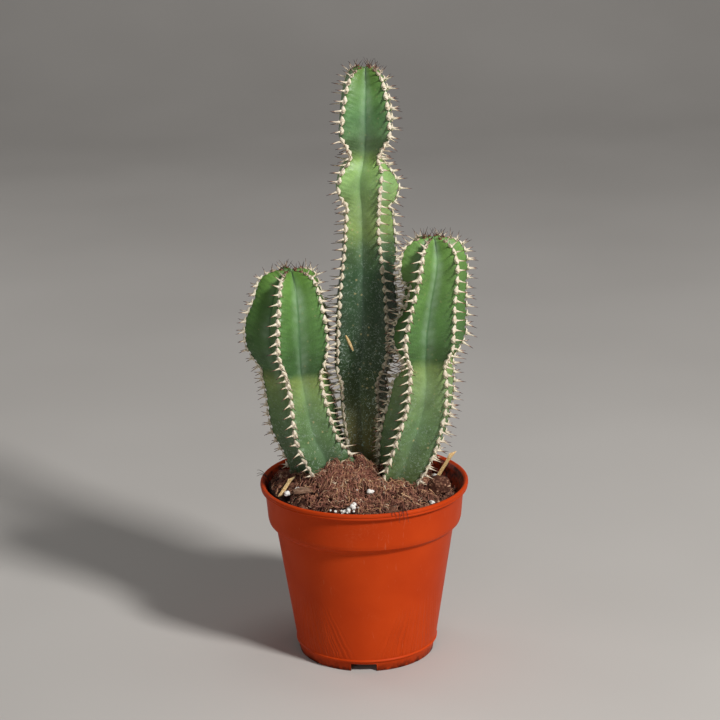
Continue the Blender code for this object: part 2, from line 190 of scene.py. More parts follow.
# Loose bits on the soil: x, y and size across.
PERLITE = [(-43.8, -25.5, 3.6), (-37.6, -26.0, 3.6), (-10.6, -50.0, 2.6)]
PERLITE += [(3.1, -40.4, 3.6), (42.0, 31.4, 3.4), (37.8, -33.8, 3.0)]
CLOD = (42.5, -16.5, 13.0)
BARK_CHIP = (-34.5, -33.5, 11.0, 5.0, 2.0)
# Each stalk: x, y and height above the soil that its foot stands on.
LEANING_STRAW = [(-48.0, -24.2, 0.0), (-44.6, -22.0, 4.8), (-41.0, -19.8, 9.6)]
UPRIGHT_STRAW = [(40.5, 21.6, 0.0), (46.3, 22.3, 9.5), (52.3, 23.0, 19.0)]


# ---- materials ----


def linear(hex_colour):
    """The linear values of an sRGB hex colour."""
    parts = [int(hex_colour[at:at + 2], 16) / 255 for at in (0, 2, 4)]
    return [v / 12.92 if v <= 0.04045 else ((v + 0.055) / 1.055) ** 2.4 for v in parts] + [1.0]


def feed(tree, node, inputs):
    """Sets inputs. Each takes a number, a hex colour, or the socket or node that feeds it."""
    for name, value in inputs.items():
        if isinstance(value, bpy.types.Node):
            value = value.outputs[0]
        if isinstance(value, bpy.types.NodeSocket):
            tree.links.new(value, node.inputs[name])
        else:
            node.inputs[name].default_value = linear(value) if isinstance(value, str) else value


def add(tree, kind, inputs=None, stops=None, **settings):
    """Adds a node with its settings and inputs, and a colour ramp's stops."""
    node = tree.nodes.new("ShaderNode" + kind)
    for name, value in settings.items():
        setattr(node, name, value)
    feed(tree, node, inputs or {})
    if stops:
        for place, _ in stops[2:]:
            node.color_ramp.elements.new(place)
        for element, (place, colour) in zip(node.color_ramp.elements, stops):
            element.position = place
            element.color = linear(colour)
    return node


def new_material(name, roughness, ior):
    """A material with one Principled shader, its tree, and that shader."""
    material = bpy.data.materials.new(name)
    material.use_nodes = True
    shader = material.node_tree.nodes["Principled BSDF"]
    shader.inputs["Roughness"].default_value = roughness
    shader.inputs["IOR"].default_value = ior
    return material, material.node_tree, shader


def per_metre(size):
    """The scale of a noise whose features are this many millimetres across."""
    return 1 / (size * MM)


def polypropylene():
    """Injection-moulded polypropylene: an even satin gloss, flow lines, dust and light scuffs."""
    material, tree, shader = new_material("terracotta_polypropylene", 0.36, 1.49)
    shader.inputs["Specular IOR Level"].default_value = 0.06
    place = add(tree, "TexCoord").outputs["Object"]
    parts = add(tree, "SeparateXYZ", {0: place})
    height = parts.outputs[2]
    cloud = add(tree, "TexNoise", {"Vector": place, "Scale": per_metre(35), "Detail": 3})
    shade = add(tree, "ValToRGB", {0: cloud}, [(0.3, "B83A10"), (0.7, "C64314")])
    # Dust is drawn in specks of about 1 mm, the smallest that shows.
    dust = add(tree, "TexNoise",
               {"Vector": place, "Scale": per_metre(1.1), "Detail": 4, "Roughness": 0.7})
    veil = add(tree, "TexNoise",
               {"Vector": place, "Scale": per_metre(22), "Detail": 4, "Roughness": 0.65})
    both = add(tree, "Math", {0: dust, 1: veil}, operation="MULTIPLY")
    dusty = add(tree, "MapRange", {0: both, 1: 0.33, 2: 0.48, 3: 0.0, 4: 0.22})
    coat = add(tree, "Mix", {0: dusty, 6: shade, 7: "CC6E48"}, data_type="RGBA")
    # Scuffs are thin pale strokes, a few millimetres long.
    stretched = add(tree, "Mapping",
                    {"Vector": place, "Rotation": (0.3, 0.7, 0.2), "Scale": (1.0, 1.0, 0.16)})
    strokes = add(tree, "TexNoise",
                  {"Vector": stretched, "Distortion": 1.2, "Scale": per_metre(1.6), "Detail": 2})
    scuffed = add(tree, "MapRange", {0: strokes, 1: 0.68, 2: 0.74, 3: 0.0, 4: 0.14})
    colour = add(tree, "Mix", {0: scuffed, 6: coat.outputs[2], 7: "D28A6A"}, data_type="RGBA")
    # Inside the wall a dark brown is mixed in: partly wet peat dried in patches on the wall above
    # the soil, partly painted shade over the whole inside.
    inside = add(tree, "Attribute", attribute_name="inside").outputs["Fac"]
    smear = add(tree, "TexNoise",
                {"Vector": place, "Scale": per_metre(4), "Detail": 5, "Roughness": 0.7})
    smear_and_shade = add(tree, "MapRange", {0: smear, 1: 0.38, 2: 0.56, 3: 0.3, 4: 0.95})
    soiled_and_shaded = add(tree, "Math", {0: smear_and_shade, 1: inside}, operation="MULTIPLY")
    lined_and_shaded = add(tree, "Mix", {0: soiled_and_shaded, 6: colour.outputs[2], 7: "2A130C"}, data_type="RGBA")
    rough = add(tree, "MapRange", {0: veil, 1: 0.3, 2: 0.7, 3: 0.36, 4: 0.5})
    # Between two notches, flow lines about 1.8 mm apart fan out down the wall to the foot.
    front = add(tree, "Math", {0: parts.outputs[1], 1: -1.0}, operation="MULTIPLY")
    turn = add(tree, "Math", {0: parts, 1: front}, operation="ARCTAN2")
    middle = add(tree, "Math", {0: turn, 1: math.radians(NOTCH_TURN + 45)}, operation="SUBTRACT")
    quarter = add(tree, "Math", {0: middle, 1: -math.pi / 4, 2: math.pi / 4}, operation="WRAP")
    spread = add(tree, "MapRange", {0: height, 1: 8 * MM, 2: 48 * MM, 3: 1.0, 4: 0.45})
    fanned = add(tree, "Math", {0: quarter, 1: spread}, operation="DIVIDE")
    sway = add(tree, "Math", {0: veil, 1: 0.12, 2: fanned}, operation="MULTIPLY_ADD")
    lines = add(tree, "TexNoise", {"W": sway, "Scale": LOWER_RADIUS / 1.8, "Detail": 1},
                noise_dimensions="1D")
    ridge = add(tree, "MapRange", {0: lines, 1: 0.4, 2: 0.6, 3: 0.0, 4: 1.0})
    low = add(tree, "MapRange", {0: height, 1: 20 * MM, 2: 50 * MM, 3: 1.0, 4: 0.0},
              interpolation_type="SMOOTHSTEP")
    aside = add(tree, "Math", {0: fanned}, operation="ABSOLUTE")
    above = add(tree, "MapRange", {0: height, 1: 7.6 * MM, 2: 9 * MM, 3: 0.0, 4: 1.0})
    near = add(tree, "MapRange", {0: aside, 1: 0.4, 2: 0.75, 3: 1.0, 4: 0.0},
               interpolation_type="SMOOTHSTEP")
    fade = add(tree, "Math", {0: low, 1: near}, operation="MULTIPLY")
    kept = add(tree, "Math", {0: fade, 1: above}, operation="MULTIPLY")
    drawn = add(tree, "Math", {0: ridge, 1: kept}, operation="MULTIPLY")
    grain = add(tree, "Math", {0: dust, 1: 0.02, 2: drawn}, operation="MULTIPLY_ADD")
    bump = add(tree, "Bump", {"Height": grain, "Strength": 0.9, "Distance": 0.36 * MM})
    feed(tree, shader, {"Base Color": lined_and_shaded.outputs[2], "Roughness": rough, "Normal": bump})
    return material


def succulent_skin():
    """A succulent's waxy cuticle: a soft sheen, pale feather marks beside each groove, fine creases
    across the ribs, painted shade in the grooves, creases and tip slits, and scuffs and corky
    specks on the older parts."""
    material, tree, shader = new_material("waxy_cuticle", 0.42, 1.42)
    place = add(tree, "TexCoord").outputs["Object"]
    tint = add(tree, "Attribute", attribute_name="tint").outputs["Color"]
    flank, climb, age, slit_shade = [add(tree, "Attribute", attribute_name=name).outputs["Fac"]
                               for name in ("flank", "climb", "age", "slit_shade")]
    blotch = add(tree, "TexNoise", {"Vector": place, "Scale": per_metre(9), "Detail": 3})
    grain = add(tree, "TexNoise", {"Vector": place, "Scale": per_metre(0.9), "Detail": 3})
    mottled = add(tree, "MapRange", {0: blotch, 1: 0.3, 2: 0.7, 3: 0.8, 4: 1.2})
    speckle = add(tree, "MapRange", {0: grain, 1: 0.3, 2: 0.7, 3: 0.92, 4: 1.08})
    shade = add(tree, "Math", {0: mottled, 1: speckle}, operation="MULTIPLY")
    ground = add(tree, "VectorMath", {0: tint, 3: shade}, operation="SCALE")

    # The middle of each face wears a thin pale bloom; in the groove the green is darkened as
    # painted shade, most on fresh skin.
    bloom = add(tree, "MapRange", {0: flank, 1: 0.05, 2: 0.6, 3: 0.08, 4: 0.0},
                interpolation_type="SMOOTHSTEP")
    bloomed = add(tree, "Mix", {0: bloom, 6: ground, 7: "7F9C86"}, data_type="RGBA")
    groove = add(tree, "MapRange", {0: flank, 1: 0.0, 2: 0.2, 3: 0.34, 4: 0.0},
                 interpolation_type="SMOOTHSTEP")
    fresh = add(tree, "MapRange", {0: age, 1: 0.0, 2: 0.3, 3: 1.0, 4: 0.25})
    shaded = add(tree, "Math", {0: groove, 1: fresh}, operation="MULTIPLY")
    grooved = add(tree, "Mix", {0: shaded, 6: bloomed.outputs[2], 7: "2F5642"}, data_type="RGBA")
    # Near the tip a near-black line down the groove is painted shade in the slit.
    furrowed = add(tree, "Mix", {0: slit_shade, 6: grooved.outputs[2], 7: "16241A"}, data_type="RGBA")

    # Feather marks: barbs one shield apart that rise from the groove towards both crests.
    wobble = add(tree, "Math", {0: grain, 1: 2.2}, operation="MULTIPLY")
    slanted = add(tree, "Math", {0: flank, 1: -7.0, 2: climb}, operation="MULTIPLY_ADD")
    wavy = add(tree, "Math", {0: slanted, 1: wobble}, operation="ADD")
    barb_turn = add(tree, "Math", {0: wavy, 1: 2 * math.pi / PITCH}, operation="MULTIPLY")
    barbs = add(tree, "Math", {0: barb_turn}, operation="SINE")
    barb_edge = add(tree, "MapRange", {0: barbs, 1: -1.0, 2: 1.0, 3: 0.6, 4: 1.0})
    inner = add(tree, "MapRange", {0: flank, 1: 0.0, 2: 0.12, 3: 0.0, 4: 1.0},
                interpolation_type="SMOOTHSTEP")
    outer = add(tree, "MapRange", {0: flank, 1: 0.16, 2: 0.55, 3: 1.0, 4: 0.0},
                interpolation_type="SMOOTHSTEP")
    band = add(tree, "Math", {0: inner, 1: outer}, operation="MULTIPLY")
    patch = add(tree, "TexNoise", {"Vector": place, "Scale": per_metre(16), "Detail": 2})
    patchy = add(tree, "MapRange", {0: patch, 1: 0.4, 2: 0.62, 3: 0.05, 4: 0.42})
    strength = add(tree, "Math", {0: band, 1: patchy}, operation="MULTIPLY")
    worn = add(tree, "Math", {0: strength, 1: fresh}, operation="MULTIPLY")
    feather = add(tree, "Math", {0: worn, 1: barb_edge}, operation="MULTIPLY")
    feathered = add(tree, "Mix", {0: feather, 6: furrowed.outputs[2], 7: "A4BCA0"},
                    data_type="RGBA")

    # Creases 2.7 mm apart run down from each crest; painted shade darkens their troughs.
    crease_turn = add(tree, "Math", {0: wavy, 1: 2 * math.pi / 2.7}, operation="MULTIPLY")
    creases = add(tree, "Math", {0: crease_turn}, operation="SINE")
    near_crest = add(tree, "MapRange", {0: flank, 1: 0.35, 2: 0.8, 3: 0.0, 4: 1.0},
                     interpolation_type="SMOOTHSTEP")
    creased = add(tree, "Math", {0: creases, 1: near_crest}, operation="MULTIPLY")
    crease_shade = add(tree, "MapRange", {0: creased, 1: 0.0, 2: -1.0, 3: 0.0, 4: 0.16})
    lined_and_shaded = add(tree, "Mix", {0: crease_shade, 6: feathered.outputs[2], 7: "24502C"},
                data_type="RGBA")

    # Old skin: white scuffs, and tan corky specks about 1 mm across.
    torn = add(tree, "TexNoise", {"Vector": place, "Scale": per_metre(2.4), "Detail": 5,
                                  "Roughness": 0.75, "Distortion": 2.2})
    scuff_mark = add(tree, "MapRange", {0: torn, 1: 0.56, 2: 0.61, 3: 0.0, 4: 1.0})
    scuff = add(tree, "Math", {0: scuff_mark, 1: age}, operation="MULTIPLY")
    scuffed = add(tree, "Mix", {0: scuff, 6: lined_and_shaded.outputs[2], 7: "BCCCBE"}, data_type="RGBA")
    bent = add(tree, "VectorMath", {0: torn.outputs["Color"], 1: (2 * MM,) * 3, 2: place},
               operation="MULTIPLY_ADD")
    cells = add(tree, "TexVoronoi", {"Vector": bent, "Scale": per_metre(4.2)})
    dot = add(tree, "MapRange", {0: cells.outputs["Distance"], 1: 0.11, 2: 0.19, 3: 1.0, 4: 0.0})
    few = add(tree, "MapRange", {0: patch, 1: 0.42, 2: 0.55, 3: 0.0, 4: 0.9})
    older = add(tree, "MapRange", {0: age, 1: 0.0, 2: 0.4, 3: 0.1, 4: 1.0})
    rare = add(tree, "Math", {0: few, 1: older}, operation="MULTIPLY")
    corky = add(tree, "Math", {0: dot, 1: rare}, operation="MULTIPLY")
    specked = add(tree, "Mix", {0: corky, 6: scuffed.outputs[2], 7: "B5A878"}, data_type="RGBA")

    rough = add(tree, "MapRange", {0: blotch, 1: 0.3, 2: 0.7, 3: 0.36, 4: 0.52})
    relief = add(tree, "Math", {0: creased, 1: 0.5, 2: grain}, operation="MULTIPLY_ADD")
    bump = add(tree, "Bump", {"Height": relief, "Strength": 0.3, "Distance": 0.3 * MM})
    feed(tree, shader, {"Base Color": specked.outputs[2], "Roughness": rough, "Normal": bump})
    return material


def horn():
    """Keratin-like dry horn: matt and pale when grown, red-brown at the points, grey with age."""
    material, tree, shader = new_material("dry_horn", 0.55, 1.5)
    place = add(tree, "TexCoord").outputs["Object"]
    reach, eye, young, weather = [add(tree, "Attribute", attribute_name=name).outputs["Fac"]
                                  for name in ("reach", "eye", "young", "weather")]
    grain = add(tree, "TexNoise",
                {"Vector": place, "Scale": per_metre(1.3), "Detail": 4, "Roughness": 0.65})
    pale = add(tree, "ValToRGB", {0: grain}, [(0.3, "B99C7C"), (0.44, "E6D8BC"), (0.66, "F6EFDC")])
    spine = add(tree, "ValToRGB", {0: reach}, [(0.0, "F1E8D2"), (0.5, "E2CDB0"), (0.68, "8C5C46"),
                                               (0.82, "40201A"), (1.0, "180C0B")])
    on_spine = add(tree, "MapRange", {0: reach, 1: 0.05, 2: 0.25, 3: 0.0, 4: 1.0})
    grown = add(tree, "Mix", {0: on_spine, 6: pale, 7: spine}, data_type="RGBA")
    eyed = add(tree, "Mix", {0: eye, 6: grown.outputs[2], 7: "8C6248"}, data_type="RGBA")
    fresh = add(tree, "ValToRGB", {0: reach},
                [(0.0, "7A5038"), (0.3, "45201A"), (0.7, "1C0C0C"), (1.0, "100707")])
    budding = add(tree, "Mix", {0: young, 6: eyed.outputs[2], 7: fresh}, data_type="RGBA")
    dirt = add(tree, "TexNoise", {"Vector": place, "Scale": per_metre(5), "Detail": 4})
    dirty = add(tree, "MapRange", {0: dirt, 1: 0.35, 2: 0.6, 3: 0.15, 4: 0.85})
    greyed = add(tree, "Math", {0: dirty, 1: weather}, operation="MULTIPLY")
    colour = add(tree, "Mix", {0: greyed, 6: budding.outputs[2], 7: "6E5A4E"}, data_type="RGBA")
    bump = add(tree, "Bump", {"Height": grain, "Strength": 0.5, "Distance": 0.25 * MM})
    feed(tree, shader, {"Base Color": colour.outputs[2], "Normal": bump})
    return material


def peat():
    """Damp peat and coir dust: quite matt, red-brown to nearly black, with painted shade in the
    hollows.
    """
    material, tree, shader = new_material("peat", 0.95, 1.4)
    shader.inputs["Specular IOR Level"].default_value = 0.2
    place = add(tree, "TexCoord").outputs["Object"]
    lumps = add(tree, "TexNoise",
                {"Vector": place, "Scale": per_metre(4), "Detail": 6, "Roughness": 0.7})
    colour = add(tree, "ValToRGB", {0: lumps},
                 [(0.38, "120907"), (0.49, "40271E"), (0.58, "865D4A"), (0.7, "C0947C")])
    # The hollows of the rough surface, and the soil's sides below it, are darkened as painted
    # shade.
    pit_shade = add(tree, "Attribute", attribute_name="pit_shade").outputs["Fac"]
    shaded = add(tree, "Mix", {0: pit_shade, 6: colour, 7: "160B08"}, data_type="RGBA")
    bump = add(tree, "Bump", {"Height": lumps, "Strength": 0.9, "Distance": 1.2 * MM})
    feed(tree, shader, {"Base Color": shaded.outputs[2], "Normal": bump})
    return material


def crumbs_of_peat():
    """Crumbs of peat and coir pith, each in its own brown."""
    material, tree, shader = new_material("peat_crumbs", 0.95, 1.4)
    shader.inputs["Specular IOR Level"].default_value = 0.2
    place = add(tree, "TexCoord").outputs["Object"]
    shade = add(tree, "Attribute", attribute_name="shade").outputs["Fac"]
    own = add(tree, "ValToRGB", {0: shade}, [(0.0, "1E110D"), (0.35, "56352A"), (0.7, "906852"),
                                             (0.92, "BA8C6E"), (1.0, "D4B496")])
    grain = add(tree, "TexNoise", {"Vector": place, "Scale": per_metre(0.8), "Detail": 3})
    level = add(tree, "MapRange", {0: grain, 1: 0.3, 2: 0.7, 3: 0.6, 4: 1.35})
    colour = add(tree, "VectorMath", {0: own, 3: level}, operation="SCALE")
    bump = add(tree, "Bump", {"Height": grain, "Strength": 0.8, "Distance": 0.4 * MM})
    feed(tree, shader, {"Base Color": colour, "Normal": bump})
    return material


def coir():
    """Coir: stiff curled coconut fibres, dark red-brown to straw-coloured, with a slight gloss."""
    material, tree, shader = new_material("coir_fibre", 0.6, 1.5)
    shade = add(tree, "Attribute", attribute_name="shade").outputs["Fac"]
    colour = add(tree, "ValToRGB", {0: shade}, [(0.0, "34170F"), (0.35, "7E4738"), (0.65, "B47A64"),
                                                (0.85, "D6A676"), (1.0, "F2E2C2")])
    feed(tree, shader, {"Base Color": colour})
    return material


def expanded_perlite():
    """Perlite: volcanic glass puffed by heat, so white, matt and full of small pits, greyed as
    painted shade.
    """
    material, tree, shader = new_material("expanded_perlite", 0.85, 1.5)
    place = add(tree, "TexCoord").outputs["Object"]
    shaded_pits = add(tree, "TexVoronoi", {"Vector": place, "Scale": per_metre(0.7)})
    # The pits are greyed as painted shade.
    colour = add(tree, "ValToRGB", {0: shaded_pits.outputs["Distance"]},
                 [(0.1, "C9C2B6"), (0.45, "F4F1EA")])
    bump = add(tree, "Bump",
               {"Height": shaded_pits.outputs["Distance"], "Strength": 0.6, "Distance": 0.3 * MM})
    feed(tree, shader, {"Base Color": colour, "Normal": bump})
    return material


def pine_bark():
    """Composted pine bark: layered, matt, brown with grey-tan ridges along its length."""
    material, tree, shader = new_material("pine_bark", 0.85, 1.45)
    place = add(tree, "TexCoord").outputs["Object"]
    along = add(tree, "Mapping",
                {"Vector": place, "Rotation": (0, 0, math.radians(-15)), "Scale": (0.22, 1.0, 1.0)})
    layers = add(tree, "TexNoise",
                 {"Vector": along, "Scale": per_metre(1.0), "Detail": 4, "Roughness": 0.7})
    colour = add(tree, "ValToRGB", {0: layers},
                 [(0.3, "543A2E"), (0.5, "86654F"), (0.72, "B89A82")])
    bump = add(tree, "Bump", {"Height": layers, "Strength": 0.8, "Distance": 0.5 * MM})
    feed(tree, shader, {"Base Color": colour, "Normal": bump})
    return material


def straw():
    """Dry straw: a pale golden stalk with a faint gloss and fine ribs along it."""
    material, tree, shader = new_material("dry_straw", 0.5, 1.5)
    place = add(tree, "TexCoord").outputs["Object"]
    ribs = add(tree, "TexNoise", {"Vector": place, "Scale": per_metre(1.0), "Detail": 3})
    colour = add(tree, "ValToRGB", {0: ribs}, [(0.3, "C0935A"), (0.5, "E0BC82"), (0.7, "F0DAA8")])
    bump = add(tree, "Bump", {"Height": ribs, "Strength": 0.5, "Distance": 0.25 * MM})
    feed(tree, shader, {"Base Color": colour, "Normal": bump})
    return material


# ---- making and finishing pieces ----


def linked(name, data):
    """A new object, linked to the scene."""
    item = bpy.data.objects.new(name, data)
    bpy.context.scene.collection.objects.link(item)
    return item


def finish_piece(name, source, material, stands_for=(), smooth_angle=None, values=None):
    """Makes an object of a shape in millimetres, and gives it its body, slot and material."""
    if isinstance(source, bmesh.types.BMesh):
        mesh = bpy.data.meshes.new(name)
        source.to_mesh(mesh)
        source.free()
    else:
        mesh = source
        mesh.name = name
    mesh.transform(Matrix.Scale(MM, 4))
    mesh.shade_smooth()
    if smooth_angle:
        mesh.set_sharp_from_angle(angle=math.radians(smooth_angle))
    mesh.materials.clear()
    mesh.materials.append(material)
    for attribute, numbers in (values or {}).items():
        layer = mesh.attributes.new(attribute, "FLOAT", "POINT")
        layer.data.foreach_set("value", np.asarray(numbers, np.float32))
    piece = linked(name, mesh)
    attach(piece, "root")
    if stands_for:
        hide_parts(*stands_for)
    return piece


def lofted(sections, layers=None):
    """A closed skin through a stack of closed sections. layers: named numbers for each point."""
    around = len(sections[0])
    bm = bmesh.new()
    bmesh.ops.create_grid(bm, x_segments=around, y_segments=len(sections) - 1, size=1)
    bm.verts.ensure_lookup_table()
    handles = {name: bm.verts.layers.float.new(name) for name in (layers or {})}
    for vert in bm.verts:
        row, column = divmod(vert.index, around + 1)
        vert.co = sections[row][column % around]
        for name, handle in handles.items():
            vert[handle] = layers[name][row][column % around]
    bmesh.ops.remove_doubles(bm, verts=bm.verts, dist=MERGE)
    bmesh.ops.holes_fill(bm, edges=[edge for edge in bm.edges if edge.is_boundary], sides=0)
    bmesh.ops.recalc_face_normals(bm, faces=bm.faces)
    return bm


def gathered(parts):
    """One bmesh of many copies. parts: a template mesh and the matrix that places it."""
    bm = bmesh.new()
    for template, matrix in parts:
        placed = template.copy()
        placed.transform(matrix)
        bm.from_mesh(placed)
        bpy.data.meshes.remove(placed)
    return bm


def as_mesh(bm, name):
    mesh = bpy.data.meshes.new(name)
    bm.to_mesh(mesh)
    bm.free()
    return mesh


def strands(name, paths, resolution):
    """A mesh of welded tubes. paths: lists of (point, radius)."""
    curve = bpy.data.curves.new(name, "CURVE")
    curve.dimensions = "3D"
    curve.bevel_depth = 1.0
    curve.bevel_resolution = resolution
    curve.use_fill_caps = True
    for path in paths:
        spline = curve.splines.new("POLY")
        spline.points.add(len(path) - 1)
        for target, (point, radius) in zip(spline.points, path):
            target.co = (*point, 1)
            target.radius = radius
    guide = linked(name, curve)
    graph = bpy.context.evaluated_depsgraph_get()
    mesh = bpy.data.meshes.new_from_object(guide.evaluated_get(graph))
    bpy.data.objects.remove(guide, do_unlink=True)
    bm = bmesh.new()
    bm.from_mesh(mesh)
    bmesh.ops.remove_doubles(bm, verts=bm.verts, dist=MERGE)
    bmesh.ops.recalc_face_normals(bm, faces=bm.faces)
    bm.to_mesh(mesh)
    bm.free()
    return mesh


def frame_matrix(centre, right, forward, out, scale):
    """Places a template by its own three axes."""
    matrix = Matrix((right, forward, out)).transposed().to_4x4()
    return Matrix.Translation(centre) @ matrix @ Matrix.Scale(scale, 4)


def pointing(centre, direction, roll, scale):
    """Places a template so that its +Z runs along a direction."""
    turn = UP.rotation_difference(direction).to_matrix().to_4x4()
    return (Matrix.Translation(centre) @ turn @ Matrix.Rotation(roll, 4, "Z")
            @ Matrix.Diagonal((*scale, 1)))


def limited(value):
    """The value, kept within 0 and 1."""
    return min(max(value, 0), 1)


def between(table, height):
    """Reads a table at a height, in a straight line between its rows."""
    place = min(max(bisect_right([row[0] for row in table], height), 1), len(table) - 1)
    low, high = table[place - 1], table[place]
    share = limited((height - low[0]) / (high[0] - low[0]))
    return low[1] + share * (high[1] - low[1])


def smooth(table, height, column=1):
    """Reads a column of a table at a height, on a curve that passes through every row."""
    place = min(max(bisect_right([row[0] for row in table], height), 1), len(table) - 1)
    nearby = table[max(place - 2, 0):place + 2]
    slopes = [(high[column] - low[column]) / (high[0] - low[0])
              for low, high in zip(nearby, nearby[1:])]
    here = min(place - 1, 1)

    def lean(before, after):
        return 2 * before * after / (before + after) if before * after > 0 else 0.0

    middle = slopes[here]
    start = lean(slopes[here - 1], middle) if here else middle
    end = lean(middle, slopes[here + 1]) if here + 1 < len(slopes) else middle
    low, high = table[place - 1], table[place]
    width = high[0] - low[0]
    t = limited((height - low[0]) / width)
    return ((2 * t**3 - 3 * t**2 + 1) * low[column] + (t**3 - 2 * t**2 + t) * width * start
            + (3 * t**2 - 2 * t**3) * high[column] + (t**3 - t**2) * width * end)


def around_axis(x, y, radius, angle, height):
    """The point at this radius and angle round an upright axis."""
    turn = math.radians(angle)
    return Vector((x + radius * math.sin(turn), y - radius * math.cos(turn), height))


# ---- shape of the stems ----


def rib_radius(stem, rib, height):
    radius = smooth(stem["girth"], height)
    trim = stem["trim"].get(rib)
    return radius * smooth(trim, height) if trim else radius


def axis_at(stem, height):
    """Where the stem's axis stands at a height, as x and y."""
    return smooth(stem["axis"], height), smooth(stem["axis"], height, 2)


def crestness(share):
    """How far the flank stands out, from 1 at the crest to 0 in the groove."""
    away = 1 - abs(1 - 2 * share)
    rounded = math.sqrt(away**2 + CREST_ROUNDING**2) - CREST_ROUNDING
    rounded /= math.sqrt(1 + CREST_ROUNDING**2) - CREST_ROUNDING
    return max(1 - rounded, 0) ** FLANK_POWER


def profile_of(stem):
    """Heights up the stem with the distance climbed to each, closer together where it curves in."""
    top = stem["girth"][-1][0]
    height = stem["girth"][0][0]
    rows, climbed = [(height, 0.0)], 0.0
    radius = smooth(stem["girth"], height)
    last = 0.0
    step = 0.05
    while height < top - step:
        height += step
        following = smooth(stem["girth"], height)
        climbed += math.hypot(step, following - radius)
        radius = following
        if climbed - last >= RING_STEP:
            rows.append((height, climbed))
            last = climbed
    rows.append((top, climbed))
    return rows


def crest_path(stem, rib):
    """Fine points up one crest and in over the tip, as (point, height, distance climbed)."""
    angle = stem["ribs"][rib]
    base, top = stem["girth"][0][0], stem["girth"][-1][0]
    path = []
    for step in range(int((top - base) / CREST_STEP) + 1):
        height = min(base + CREST_STEP * step, top)
        radius = rib_radius(stem, rib, height)
        path.append(around_axis(*axis_at(stem, height), radius, angle, height))
    tip_radius = rib_radius(stem, rib, top)
    for share in (0.85, 0.7, 0.55, 0.4):
        rise = 0.5 * (1 - share)
        path.append(around_axis(*axis_at(stem, top), tip_radius * share, angle, top + rise))
    climbed = [0.0]
    for low, high in zip(path, path[1:]):
        climbed.append(climbed[-1] + (high - low).length)
    return path, climbed


def shield_spacing(stem, height):
    """Shields crowd together where the stem is narrow and towards its tip."""
    crowd = max(math.exp(-((height - narrow) / 5.0) ** 2) for narrow in stem["narrows"])
    top = stem["girth"][-1][0]
    tip = limited((height - (top - TIP_LENGTH)) / TIP_LENGTH)
    return PITCH * (1 - 0.3 * crowd) * (1 - 0.4 * tip)


def stations_of(stem, rib, seed):
    """Places of the shields on one crest, as indices of the path."""
    draw = random.Random(seed)
    path, climbed = crest_path(stem, rib)
    wanted = draw.uniform(1.0, 4.0)
    stations = []
    for index, (point, distance) in enumerate(zip(path, climbed)):
        if distance >= wanted:
            stations.append(index)
            wanted = distance + shield_spacing(stem, point.z) * draw.uniform(0.93, 1.07)
    return path, climbed, stations


def stem_rings(name, stem):
    """Sections of one stem, with the numbers that its material reads."""
    ribs = stem["ribs"]
    rows = profile_of(stem)
    top = rows[-1][0]
    beat = []
    for rib in range(len(ribs)):
        path, _, stations = stations_of(stem, rib, f"{name}{rib}")
        beat.append([path[index].z for index in stations])
    sections, layers = [], {"flank": [], "climb": [], "age": [], "slit_shade": []}
    rows = rows + [(top, rows[-1][1] + 2.0)] * 3  # three more rings close in over the tip
    for number, (height, climbed) in enumerate(rows):
        closing = max(number - (len(rows) - 4), 0)
        shrink = (1, 0.62, 0.3, 0.02)[closing]
        sink = (0, 0.1, -0.6, -1.4)[closing]
        x, y = axis_at(stem, height)
        tip = limited((height - (top - TIP_LENGTH)) / TIP_LENGTH)
        valley_share = VALLEY - 0.3 * tip**1.5
        ring, flanks = [], []
        for rib, angle in enumerate(ribs):
            following = (rib + 1) % len(ribs)
            spread = (ribs[following] - angle) % 360
            crests = [rib_radius(stem, at, height) for at in (rib, following)]
            valley = valley_share * sum(crests) / 2
            for share in SPREAD:
                near = rib if share <= 0.5 else following
                crest = crests[0] if share <= 0.5 else crests[1]
                stand = crestness(share)
                radius = valley + stand * (crest - valley)
                away = 1 - abs(1 - 2 * share)
                # The crest swells at each shield, and a fine slit runs along the groove.
                scallop = np.interp(height, beat[near], range(len(beat[near])))
                edge = max(1 - away / 0.3, 0)
                radius += 0.5 * math.cos(2 * math.pi * scallop) * edge - 0.25 * edge
                radius -= 0.3 * math.exp(-((1 - away) / 0.12) ** 2)
                spot = around_axis(x, y, radius * shrink, angle + share * spread, height + sink)
                lump = noise.noise(spot / 9.0) * 0.35 + noise.noise(spot / 3.5) * 0.12
                spot += (spot - Vector((x, y, spot.z))).normalized() * lump * shrink
                ring.append(spot)
                flanks.append(1 - away)
        sections.append(ring)
        layers["flank"].append(flanks)
        layers["climb"].append([climbed] * len(ring))
        age = between(stem["weather"], height)
        layers["age"].append([age] * len(ring))
        # Near the tip the slit gets painted shade.
        dark = limited((tip - 0.45) / 0.4)
        layers["slit_shade"].append([dark * math.exp(-(flank / 0.09) ** 2) for flank in flanks])
    return sections, layers


def paint_by_height(mesh, rows):
    """A colour for each point, read from rows of height and hex colour."""
    table = [(height, *linear(colour)) for height, colour in rows]
    heights = [row[0] * MM for row in table]
    points = np.empty(len(mesh.vertices) * 3)
    mesh.vertices.foreach_get("co", points)
    ragged = [1.6 * MM * noise.noise(vert.co / (5 * MM)) for vert in mesh.vertices]
    z = points.reshape(-1, 3)[:, 2] + ragged
    channels = [np.interp(z, heights, [row[part] for row in table]) for part in (1, 2, 3, 4)]
    layer = mesh.attributes.new("tint", "FLOAT_COLOR", "POINT")
    layer.data.foreach_set("color", np.stack(channels, 1).astype(np.float32).ravel())


def build_stems(skin):
    for name, stem in STEMS.items():
        sections, layers = stem_rings(name, stem)
        piece = finish_piece(name + "_skin", lofted(sections, layers), skin, [name])
        paint_by_height(piece.data, stem["tint"])


# ---- spine rows ----


